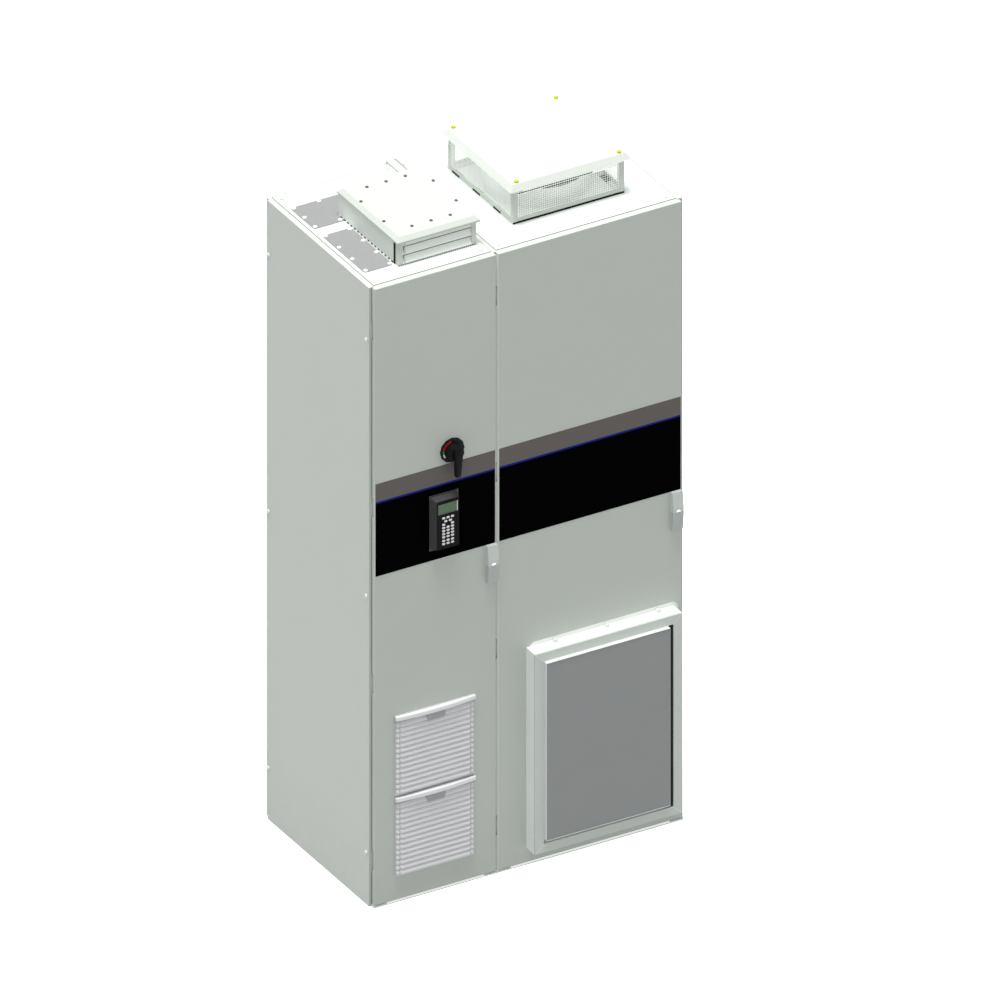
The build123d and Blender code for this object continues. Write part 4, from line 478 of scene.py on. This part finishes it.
WHITE = (0.80, 0.83, 0.80)
paint = powder_coat("cabinet_coat")
door_coat = powder_coat("door_coat")
steel = zinc("zinc_sheet", (0.62, 0.63, 0.64))
black = moulded("black_skin", (0.0075, 0.0075, 0.008), 0.5, level=0.05)
MATERIALS = {
    "cabinet_paint": paint,
    "door_paint": door_coat,
    "galvanised": steel,
    "screw_steel": powder_coat("screw_coat", WHITE, screw_heads),
    "white_paint": paint,
    "black_rubber": rubber(),
    "banner_print": banner_film("banner_film", "left_door_banner"),
    "black_plastic": black,
    "dark_plastic": keypad_shell(),
    "key_plastic": moulded("silicone_white", (0.92, 0.92, 0.92), 0.5, 0.0008),
    "start_key": moulded("silicone_start", (0.92, 0.92, 0.92), 0.5, 0.0008),
    "stop_key": moulded("silicone_stop", (0.92, 0.92, 0.92), 0.5, 0.0008),
    "display_film": liquid_crystal(),
    "latch_metal": powder_coat("latch_coat", (0.65, 0.69, 0.65), latch_shade),
    "lock_metal": powder_coat("lock_face", (0.50, 0.53, 0.50), lock_face, lock_glint, 0.6),
    "grille_plastic": grille_skin(),
    "filter_fleece": fleece("inlet_fleece", (0.30, 0.30, 0.30)),
    "yellow_plastic": moulded("cap_yellow", (0.52, 0.55, 0.008), 0.4),
    "fan_metal": powder_coat("fan_black", (0.05, 0.05, 0.055)),
    "insulator": moulded("switch_moulding", (0.11, 0.11, 0.125), 0.5),
    "fuse_ceramic": moulded("fuse_ceramic", (0.80, 0.77, 0.68), 0.25, 0.002),
    "core_steel": laminations(),
    "winding": coil_wire(),
    "aluminium": machined("extruded_aluminium", (0.72, 0.73, 0.75), 0.35, (1, 1, 0.03)),
    "capacitor_can": capacitor_sleeve(),
    "circuit_board": circuit_green(),
    "copper": machined("copper_bar", (0.85, 0.42, 0.24), 0.25, (1, 1, 0.04)),
}
SPECIAL = {
    "gland_plates": zinc("gland_zinc", (0.285, 0.29, 0.287), 0.0, 0.5, 0.04),
    # Painted light: the cage lid takes a lighter copy of the cabinet paint, so its sloping face looks
    # brightly lit.
    "fan_cage_lid": powder_coat("lid_coat", (0.72, 0.76, 0.70)),
    # Painted light: the filter box frame takes a lighter copy of the cabinet paint, to cancel the shade
    # beside the door.
    "filter_box_frame": powder_coat("frame_coat", (0.70, 0.74, 0.69), mitre_highlights),
    "exhaust_hood_casing": powder_coat("hood_coat", (0.76, 0.80, 0.75)),
    "roof_plate_left": powder_coat("left_roof_coat", WHITE, sheet_edge("roof_plate_left")),
    "roof_plate_right": powder_coat("right_roof_coat", WHITE, sheet_edge("roof_plate_right")),
    # Painted light: the hinge necks glow, so the notches in the door edges show light instead of shade.
    "hinge_pins": powder_coat("hinge_coat", glow=everywhere, strength=0.35),
    # Painted light: the filter box casing takes a much lighter copy of the cabinet paint, to cancel the shade
    # on its sides.
    "filter_box_casing": powder_coat("box_coat", (0.94, 0.97, 0.93)),
    # Painted light: the sill ledges glow against the shadow of the doors above them.
    "frame_left_bay": powder_coat("left_frame_coat", glow=sill_top_glow, strength=0.55),
    "frame_right_bay": powder_coat("right_frame_coat", glow=sill_top_glow, strength=0.55),
    # Painted light: the right door's edge glows inside the gap between the doors.
    "right_door_shell": powder_coat("right_door_coat", glow=bay_gap_glow, strength=0.2),
    "baying_bracket": powder_coat("bracket_coat"),
    "roof_fan_stator": powder_coat("stator_coat", WHITE),
    "disconnect_escutcheon": dial_ring(),
    "fan_cage_seal": dashed_seal("cage_seal", "y", 0.115, 0.36, (0.7, 0.73, 0.7), "fan_cage_seal"),
    "keypad_bezel": moulded("bezel_grey", (0.06, 0.059, 0.06), 0.5, level=0.15),
}


def slot_of(node):
    """The record's slot that a CAD node carries, by the name of its imported material."""
    return node.data.materials[0].name.split(".")[0]


for name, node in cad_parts.items():
    chosen = SPECIAL.get(name) or MATERIALS[slot_of(node)]
    for index in range(len(node.material_slots)):
        node.material_slots[index].material = chosen


# ---- surfaces ----
def loft(rings, wrap_ends=False):
    """Closed skin through rings, an array (steps, points, 3): point j of ring i joins point j of
    ring i + 1. Both ends are closed by a face of the ring's own points, or the last ring joins the first."""
    rings = np.asarray(rings, float)
    steps, count = rings.shape[:2]
    i, j = np.meshgrid(np.arange(steps if wrap_ends else steps - 1), np.arange(count), indexing="ij")
    k, m = (i + 1) % steps, (j + 1) % count
    quads = np.stack([i * count + j, i * count + m, k * count + m, k * count + j], -1).reshape(-1, 4)
    faces = quads.tolist()
    if not wrap_ends:
        faces.append(list(range(count))[::-1])
        faces.append(list(range((steps - 1) * count, steps * count)))
    points = rings.reshape(-1, 3)
    a, b, c, d = (points[quads[:, n]] for n in range(4))
    middle = points.mean(0)
    normal = np.cross(c - a, d - b)
    if np.einsum("ij,ij->", normal, (a + b + c + d) / 4 - middle) < 0:
        faces = [face[::-1] for face in faces]
    return points, faces


def rods(starts, ends, radius, sides=6):
    """Straight round wires: circles of the given radius about both ends of each line, joined, with
    flat ends. starts and ends are arrays (n, 3)."""
    starts, ends = np.asarray(starts, float), np.asarray(ends, float)
    along = ends - starts
    along /= np.linalg.norm(along, axis=1, keepdims=True)
    helper = np.where(np.abs(along[:, 2:3]) > 0.9, [[1.0, 0, 0]], [[0, 0, 1.0]])
    one = np.cross(along, helper)
    one /= np.linalg.norm(one, axis=1, keepdims=True)
    two = np.cross(along, one)
    turn = np.arange(sides) * 2 * math.pi / sides
    ring = radius * (np.cos(turn)[None, :, None] * one[:, None] + np.sin(turn)[None, :, None] * two[:, None])
    points = np.stack([starts[:, None] + ring, ends[:, None] + ring], 1).reshape(-1, 3)
    base = (np.arange(len(starts)) * 2 * sides)[:, None]
    j = np.arange(sides)[None]
    quads = np.stack([base + j, base + (j + 1) % sides, base + sides + (j + 1) % sides, base + sides + j], -1)
    faces = quads.reshape(-1, 4).tolist()
    faces += (base + j[:, ::-1]).tolist() + (base + sides + j).tolist()
    return points, faces


def outline(width, height, radii, samples=5):
    """Rounded rectangle about the origin: an arc at each corner. radii run top right, top left,
    bottom left, bottom right."""
    turn = np.linspace(0, math.pi / 2, samples)
    parts = []
    for n, (sx, sz, r) in enumerate(zip((1, -1, -1, 1), (1, 1, -1, -1), radii)):
        angle = turn + n * math.pi / 2
        centre = (sx * (width / 2 - r), sz * (height / 2 - r))
        parts.append(np.stack([centre[0] + r * np.cos(angle), centre[1] + r * np.sin(angle)], -1))
    return np.concatenate(parts)


def slab(x0, x1, z0, z1, y_front, y_back, radii, edge=0.8 * MM):
    """Upright plate with rounded corners: its outline at the back and near the front, then drawn in
    by the edge radius along a quarter circle."""
    rings = []
    for t in np.linspace(0, math.pi / 2, 4):
        shrink = edge * (1 - math.cos(t))
        shape = outline(x1 - x0 - 2 * shrink, z1 - z0 - 2 * shrink, [max(r - shrink, 1e-5) for r in radii])
        y = y_front + edge * (1 - math.sin(t))
        rings.append(np.stack([shape[:, 0] + (x0 + x1) / 2, np.full(len(shape), y),
                               shape[:, 1] + (z0 + z1) / 2], -1))
    back = rings[0].copy()
    back[:, 1] = y_back
    return loft([back] + rings)


def bar(x0, x1, y0, y1, z0, z1, edge=1.0 * MM):
    """Square bar with rounded long edges, carried along its longest side."""
    size = np.array([x1 - x0, y1 - y0, z1 - z0])
    long = int(size.argmax())
    others = [n for n in range(3) if n != long]
    shape = outline(size[others[0]], size[others[1]], [edge] * 4, 3)
    middle = np.array([x0 + x1, y0 + y1, z0 + z1]) / 2
    rings = []
    for end in (-0.5, 0.5):
        ring = np.empty((len(shape), 3))
        ring[:, others] = shape + middle[others]
        ring[:, long] = middle[long] + end * size[long]
        rings.append(ring)
    return loft(rings)


def hoop(x0, x1, z0, z1, profile):
    """Rectangular ring with mitred corners: each profile point (outward offset, y) is carried round
    the four corners of the rectangle."""
    profile = np.asarray(profile, float)
    rings = []
    for x, z, sx, sz in ((x0, z0, -1, -1), (x1, z0, 1, -1), (x1, z1, 1, 1), (x0, z1, -1, 1)):
        rings.append(np.stack([x + sx * profile[:, 0], profile[:, 1], z + sz * profile[:, 0]], -1))
    points, faces = loft(rings, wrap_ends=True)
    a, b, c, d = (points[[face[n] for face in faces]] for n in range(4))
    if np.einsum("ij,ij->", np.cross(c - a, d - b), (a + b + c + d) / 4) < 0:
        faces = [face[::-1] for face in faces]
    return points, faces


def piece(name, shells, material, body, hides=(), smooth=30):
    """One object from several closed skins, riding on a body."""
    points, faces, base = [], [], 0
    for shell_points, shell_faces in shells:
        points.append(shell_points)
        faces += [[index + base for index in face] for face in shell_faces]
        base += len(shell_points)
    mesh = bpy.data.meshes.new(name)
    mesh.from_pydata(np.concatenate(points).tolist(), [], faces)
    mesh.materials.append(material)
    mesh.update()
    thing = bpy.data.objects.new(name, mesh)
    bpy.context.scene.collection.objects.link(thing)
    if smooth:
        mesh.shade_smooth()
        mesh.set_sharp_from_angle(angle=math.radians(smooth))
    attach(thing, body)
    if hides:
        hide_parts(*hides)
    return thing


# ---- louvre covers of the left door ----
SLATS = 14


def louvre_shell(low, high):
    """Closed profile carried across the cover. Going up: a plain rim, slats that bulge as a power of
    a half sine, a flat recess and a visor. The bulge falls off at both ends and in a narrow pinch
    beside them; the visor's depth is a parabola across the cover."""
    width = high.x - low.x
    ends = np.array([0, 1.2, 3, 5, 7, 9, 11, 12.5, 14, 15.5, 17, 19.5, 23]) * MM
    across = np.concatenate([ends, np.linspace(28 * MM, width - 28 * MM, 24), width - ends[::-1]])
    near = np.minimum(across, width - across) / MM
    fall = np.clip((near - 2) / 6, 0, 1)
    pinch = 1 - 0.8 * np.exp(-(((near - 14) / 2.4) ** 2))
    bulge = (fall * pinch)[:, None]
    bottom, top = low.z + 5 * MM, high.z - 21 * MM
    t = np.tile(np.linspace(0, 1, 10)[:-1], SLATS)
    slat = np.repeat(np.arange(SLATS), 9)
    z_slats = bottom + (slat + t) * (top - bottom) / SLATS
    shape = (np.sin(math.pi * t ** 0.8) ** 0.6)[None]
    y_slats = 3.2 + 8.0 * shape * bulge
    visor = (12.0 + 7.6 * (1 - (2 * across / width - 1) ** 2))[:, None]
    ones = np.ones((len(across), 1))
    parts_z = [low.z, low.z, low.z + 2 * MM, low.z + 4.6 * MM]
    parts_y = [ones * 0, ones * 3, ones * 5.2, ones * 5.2]
    tail_z = [top, high.z - 13.4 * MM, high.z - 13 * MM, high.z - 12 * MM, high.z - 4 * MM,
              high.z - 1 * MM, high.z, high.z]
    tail_y = [ones * 6.0, ones * 6.0, visor - 1.2, visor, visor - 0.2, visor - 1.0, visor - 2.6, ones * 0]
    z = np.concatenate([parts_z, z_slats, tail_z])
    depth = np.concatenate(parts_y + [y_slats * np.ones_like(ones)] + tail_y, 1) * MM
    rings = np.empty((len(across), len(z), 3))
    rings[..., 0] = (low.x + across)[:, None]
    rings[..., 1] = high.y - depth
    rings[..., 2] = z[None]
    return loft(rings)


# Painted shade: the finger tab is grey like the shaded recess under the visor beside it.
tab_shade_skin = moulded("tab_grey", (0.43, 0.43, 0.43), 0.5)
for cover in ("filter_grille_upper", "filter_grille_lower"):
    low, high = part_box(cover)
    piece(cover + "_louvre", [louvre_shell(low, high)], MATERIALS["grille_plastic"], cover,
          [cover], smooth=40)
    middle, top = (low.x + high.x) / 2, high.z - 12.8 * MM
    tab = slab(middle - 30 * MM, middle + 30 * MM, top - 25 * MM, top, high.y - 12.4 * MM, high.y - 4 * MM,
               [0.5 * MM, 0.5 * MM, 9 * MM, 9 * MM])
    piece(cover + "_finger_tab", [tab], tab_shade_skin, cover)


# ---- filter cassette in the frame of the large filter box ----
low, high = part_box("filter_box_mat")
rim = 0.9 * MM
rim_profile = [(0, high.y), (0, low.y + 0.4 * MM), (-0.4 * MM, low.y), (-rim, low.y), (-rim, high.y)]
piece("cassette_rim", [hoop(low.x, high.x, low.z, high.z, rim_profile)], powder_coat("cassette_coat", WHITE),
      "filter_box_frame", ["filter_box_mat"])
x = np.linspace(low.x + rim, high.x - rim, 70)
z = np.linspace(low.z + rim, high.z - rim, 90)
crown = (np.sin(np.linspace(0, math.pi, 70))[:, None] * np.sin(np.linspace(0, math.pi, 90))[None]) ** 0.3
front = low.y + 1.5 * MM - 1.4 * MM * crown
pad = np.empty((70, 92, 3))
pad[..., 0] = x[:, None]
pad[:, :90, 1], pad[:, 90:, 1] = front, high.y - 1 * MM
pad[:, :90, 2], pad[:, 90, 2], pad[:, 91, 2] = z[None], z[-1], z[0]
piece("cassette_pad", [loft(pad)], cassette_net(), "filter_box_frame", ["filter_box_mat"])


# ---- black strip in the gap at the cassette's right side ----
outer_low, outer_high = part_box("filter_box_frame")
FRAME_FACE = 28.9 * MM
gap_strip = bar(high.x + 0.3 * MM, outer_high.x - FRAME_FACE, outer_low.y + 1.6 * MM, outer_low.y + 15 * MM,
               low.z - 10 * MM, high.z)
piece("cassette_gap_strip", [gap_strip], MATERIALS["black_rubber"], "filter_box_frame")


# ---- exhaust hood: gasket strip and the bead of sealant round its foot ----
low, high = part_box("exhaust_hood_casing")
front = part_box("exhaust_hood_louvre")[0]
strip = bar(low.x - 0.6 * MM, low.x + 1 * MM, low.y, low.y + 10 * MM, low.z + 0.3 * MM, high.z - 0.3 * MM,
            0.5 * MM)
piece("hood_gasket", [strip], MATERIALS["black_rubber"], "cabinet")
bead = bar(low.x - 1.6 * MM, low.x + 0.2 * MM, low.y + 12 * MM, high.y, low.z, low.z + 3 * MM, 0.6 * MM)
piece("hood_side_bead", [bead], dashed_seal("side_bead", "y", 0.019, 0.55, (0.75, 0.78, 0.75)), "cabinet")
bead = bar(front.x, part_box("exhaust_hood_louvre")[1].x, front.y - 1.4 * MM, front.y + 0.2 * MM, low.z,
           low.z + 2.5 * MM, 0.6 * MM)
piece("hood_front_bead", [bead], dashed_seal("front_bead", "x", 0.007, 0.6, (0.6, 0.62, 0.6)), "cabinet")


# ---- exhaust hood louvre: posts, rails and three blades, each (foot, head) above the roof in mm ----
low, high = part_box("exhaust_hood_louvre")
post, hood_rail = 15 * MM, 3.5 * MM
BLADES = ((3.8, 30.0), (31.5, 58.0), (59.5, 68.4))
BLADE_LEAN = 0.5
# Heights in mm of the painted shadow lines between the blades.
SHADOW_LINE_HEIGHTS = (30, 58)
frame_bars = [bar(x0, x0 + post, low.y, high.y, low.z, high.z) for x0 in (low.x, high.x - post)]
frame_bars.append(bar(low.x + post + 4 * MM, low.x + post + 9 * MM, low.y, low.y + 20 * MM, low.z, high.z))
frame_bars += [bar(low.x + post, high.x - post, low.y, high.y, z0, z0 + hood_rail)
               for z0 in (low.z, high.z - hood_rail)]
blades = []
for foot, head in BLADES:
    reach = (head - foot) * BLADE_LEAN
    shape = [(1.0, foot), (0.6, foot + 0.8), (1.0, foot + 2.2), (1.0 + reach, head), (2.2 + reach, head),
             (2.4, foot + 2.0), (1.8, foot)]
    blades.append(loft([[(x0, low.y + y0 * MM, low.z + z0 * MM) for y0, z0 in shape]
                        for x0 in (low.x + post, high.x - post)]))
piece("hood_louvre_frame", frame_bars, paint, "cabinet", ["exhaust_hood_louvre"])
# Painted shadow: dark grey strips at the heads of the lower blades stand in for the shadow between the
# blades.
shadow_line_bars = [bar(low.x + post, high.x - post, low.y, low.y + 0.5 * MM, low.z + h * MM, low.z + (h + 2.2) * MM)
        for h in SHADOW_LINE_HEIGHTS]
piece("hood_blade_shadow_lines", shadow_line_bars, powder_coat("blade_shadow_coat", (0.20, 0.22, 0.20)), "cabinet")
# Painted light: the blades are lighter than the paint and glow a little, so they stay bright in the shade of
# the hood.
blade_coat = powder_coat("blade_coat", (0.86, 0.90, 0.85), glow=everywhere, strength=0.1)
piece("hood_louvre_blades", blades, blade_coat, "cabinet", ["exhaust_hood_louvre"], smooth=20)


# ---- roof fan cage: rails, posts and woven wire ----
low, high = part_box("fan_cage")
post, rail, wire = 15 * MM, 12 * MM, 0.55 * MM
bars = []
for x0 in (low.x, high.x - post):
    for y0 in (low.y, high.y - post):
        bars.append(bar(x0, x0 + post, y0, y0 + post, low.z, high.z))
for z0, tall in ((low.z, rail), (high.z - 4 * MM, 4 * MM)):
    for y0 in (low.y, high.y - 2 * MM):
        bars.append(bar(low.x + post, high.x - post, y0, y0 + 2 * MM, z0, z0 + tall))
    for x0 in (low.x, high.x - 2 * MM):
        bars.append(bar(x0, x0 + 2 * MM, low.y + post, high.y - post, z0, z0 + tall))
floor_lip = 10 * MM
for y0 in (low.y + 2 * MM, high.y - 2 * MM - floor_lip):
    bars.append(bar(low.x + post, high.x - post, y0, y0 + floor_lip, low.z, low.z + 1.5 * MM, 0.5 * MM))
piece("fan_cage_rails", bars, paint, "cabinet", ["fan_cage"])
PITCH = 7 * MM
starts, ends = [], []
columns = np.arange(low.x + post + PITCH / 2, high.x - post, PITCH)
rows = np.arange(low.y + post + PITCH / 2, high.y - post, PITCH)
levels = np.arange(low.z + rail + PITCH / 2, high.z - 4 * MM, PITCH)
for y0 in (low.y + 1 * MM, high.y - 1 * MM):
    starts += [(c, y0, low.z + rail) for c in columns] + [(low.x + post, y0, h) for h in levels]
    ends += [(c, y0, high.z - 3 * MM) for c in columns] + [(high.x - post, y0, h) for h in levels]
for x0 in (low.x + 1 * MM, high.x - 1 * MM):
    starts += [(x0, r, low.z + rail) for r in rows] + [(x0, low.y + post, h) for h in levels]
    ends += [(x0, r, high.z - 3 * MM) for r in rows] + [(x0, high.y - post, h) for h in levels]
# Painted light: the wire mesh glows, so the cage looks light against its shaded inside.
piece("fan_cage_mesh", [rods(starts, ends, wire)],
      powder_coat("wire_coat", (0.86, 0.88, 0.86), glow=everywhere, strength=0.35), "cabinet",
      ["fan_cage"])

# ---- slatted guard over the fan, two dark bars across it and three terminal blocks ----
guard_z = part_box("roof_fan_stator")[1].z + 3 * MM
SLAT_PITCH, SLAT_WIDTH = 7 * MM, 5.4 * MM
inner_x0, inner_x1, inner_y0, inner_y1 = low.x + 8 * MM, high.x - 8 * MM, low.y + 10 * MM, high.y - 10 * MM
slats = [bar(c, c + SLAT_WIDTH, inner_y0, inner_y1, guard_z - 1 * MM, guard_z + 1 * MM, 0.6 * MM)
         for c in np.arange(inner_x0, inner_x1 - 6 * MM, SLAT_PITCH)]
slats += [bar(inner_x0, inner_x1, y0, y0 + 8 * MM, guard_z + 1 * MM, guard_z + 2.5 * MM, 0.5 * MM)
          for y0 in np.linspace(inner_y0, inner_y1 - 8 * MM, 4)]
# Painted light: the guard slats glow, so the inside of the cage stays light.
piece("fan_guard", slats, powder_coat("guard_coat", (0.84, 0.85, 0.84), glow=everywhere, strength=0.4),
      "cabinet")
reach = (inner_x1 - inner_x0) * 0.74
dark = [bar(inner_x0 + 4 * MM, inner_x0 + reach, y0, y0 + wide, guard_z + 2.5 * MM, guard_z + 4 * MM,
            0.5 * MM)
        for y0, wide in ((inner_y0 - 2 * MM, 4.5 * MM), (inner_y0 + 54 * MM, 2.5 * MM))]
piece("fan_guard_bars", dark, black, "cabinet")
block_y = inner_y0 + 4 * MM
blocks = [slab(inner_x0 + (2 + 11 * n) * MM, inner_x0 + (11 + 11 * n) * MM, guard_z + 1 * MM,
               guard_z + 17 * MM, block_y, block_y + 13 * MM, [1.5 * MM] * 4) for n in range(3)]
orange = moulded("terminal_orange", (0.75, 0.36, 0.03), 0.4)
piece("fan_terminals", blocks, orange, "cabinet")


# ---- rotary handle of the main switch ----
low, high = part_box("disconnect_handle")
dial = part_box("disconnect_escutcheon")
hub_x, hub_z = (dial[0].x + dial[1].x) / 2, (dial[0].z + dial[1].z) / 2
hub_back = dial[0].y - 0.3 * MM
turn = np.linspace(0, 2 * math.pi, 96, endpoint=False)
steps = np.array([(25.0, 0), (25.0, 4), (24.2, 6), (24.2, 20), (23.4, 23), (21.0, 25.4), (17.0, 26),
                  (15.8, 25.2), (3.0, 25.0)])
grip = (steps[:, 1] > 5) & (steps[:, 1] < 21)
radius = steps[:, 0:1] + np.where(grip, 0.6, 0.0)[:, None] * np.cos(18 * turn)[None]
hub = np.stack([hub_x + radius * np.cos(turn) * MM,
                np.broadcast_to(hub_back - steps[:, 1:2] * MM, radius.shape),
                hub_z + radius * np.sin(turn) * MM], -1)
along = np.array([24.0, 23, 20, 12, 0, -14, -26, -40, -56, -66, -70.5, -72])
half = np.array([7.0, 9.4, 11.6, 12.4, 12.4, 11.4, 10.2, 9.4, 8.9, 8.4, 7.0, 4.6])
deep = np.array([6.0, 9, 11.5, 13.6, 14, 14, 13.4, 12.6, 11.6, 10.6, 8.6, 6])
base = np.array([-24.0, -24, -24, -24, -24, -24, -19, -18.2, -18, -18, -18.4, -20])
angle = np.linspace(0, 2 * math.pi, 28, endpoint=False)
c, s = np.cos(angle), np.sin(angle)
soft = lambda v: np.sign(v) * np.abs(v) ** 0.55
top_y = -26.0 - deep
mid_y, half_y = (top_y + base) / 2, (base - top_y) / 2
lever = np.stack([hub_x + half[:, None] * soft(c)[None] * MM,
                  hub_back + (mid_y[:, None] + half_y[:, None] * soft(s)[None]) * MM,
                  np.broadcast_to(hub_z + along[:, None] * MM, (len(along), len(angle)))], -1)
piece("rotary_handle", [loft(hub), loft(lever)], black, "disconnect_handle",
      ["disconnect_handle"], smooth=35)


# ---- dark frame round the keypad's display ----
def right_rim(f, base):
    """White inner edge along the right side of the display."""
    return f.mix(f.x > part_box("keypad_display")[1].x - 0.9 * MM, base, (0.92, 0.92, 0.92))


low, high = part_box("keypad_display")
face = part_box("keypad_housing")[0].y
surround = [(1.6 * MM, face - 0.3 * MM), (0.2 * MM, face - 0.3 * MM), (-0.6 * MM, low.y - 0.1 * MM),
            (0.6 * MM, low.y - 0.1 * MM), (1.6 * MM, face + 0.2 * MM)]
piece("display_surround", [hoop(low.x, high.x, low.z, high.z, surround)],
      moulded("surround_grey", (0.10, 0.12, 0.10), 0.4, cover=right_rim), "left_door")


# ---- floor, light and camera ----
def studio_floor():
    """Pale floor, a little self-lit so that it stays even."""
    f = Finish("floor_pale")
    shade = f.tint((0.92, 0.925, 0.93), f.noise(0.8), 0.01)
    return f.done(base_color=shade, roughness=0.9, emission_color=(0.97, 0.985, 1.0), emission_strength=0.8)


mesh = bpy.data.meshes.new("studio_floor")
side = 40.0
mesh.from_pydata([(-side, -side, 0), (side, -side, 0), (side, side, 0), (-side, side, 0)], [], [(0, 1, 2, 3)])
mesh.materials.append(studio_floor())
floor = bpy.data.objects.new("studio_floor", mesh)
floor.location.z = -0.5 * MM
floor.visible_diffuse = False
bpy.context.scene.collection.objects.link(floor)
floor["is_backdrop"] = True

scene = bpy.context.scene
world = bpy.data.worlds.new("studio_sky")
world.use_nodes = True
world.node_tree.nodes["Background"].inputs[0].default_value = (0.97, 0.985, 1.0, 1)
world.node_tree.nodes["Background"].inputs[1].default_value = 0.52
scene.world = world
scene.view_settings.view_transform = "Standard"

# Direction towards the sun. Its length is the light on a face turned squarely to it.
key = Vector((-0.125, -0.03, 1.2))
lamp = bpy.data.lights.new("key", "SUN")
lamp.energy = key.length * math.pi
lamp.angle = math.radians(24)
sun = bpy.data.objects.new("key", lamp)
sun.rotation_mode = "QUATERNION"
sun.rotation_quaternion = key.to_track_quat("Z", "Y")
scene.collection.objects.link(sun)

lens = bpy.data.cameras.new("camera")
lens.type = "ORTHO"
lens.ortho_scale = 2.8
lens.clip_end = 60
camera = bpy.data.objects.new("camera", lens)
azimuth, elevation = math.radians(-30), math.radians(30)
back = Vector((math.sin(azimuth) * math.cos(elevation), -math.cos(azimuth) * math.cos(elevation),
               math.sin(elevation)))
camera.location = Vector((-0.0926, -0.302, 1.2037)) + back * 8
camera.rotation_mode = "QUATERNION"
camera.rotation_quaternion = back.to_track_quat("Z", "Y")
scene.collection.objects.link(camera)
scene.camera = camera

low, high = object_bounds()
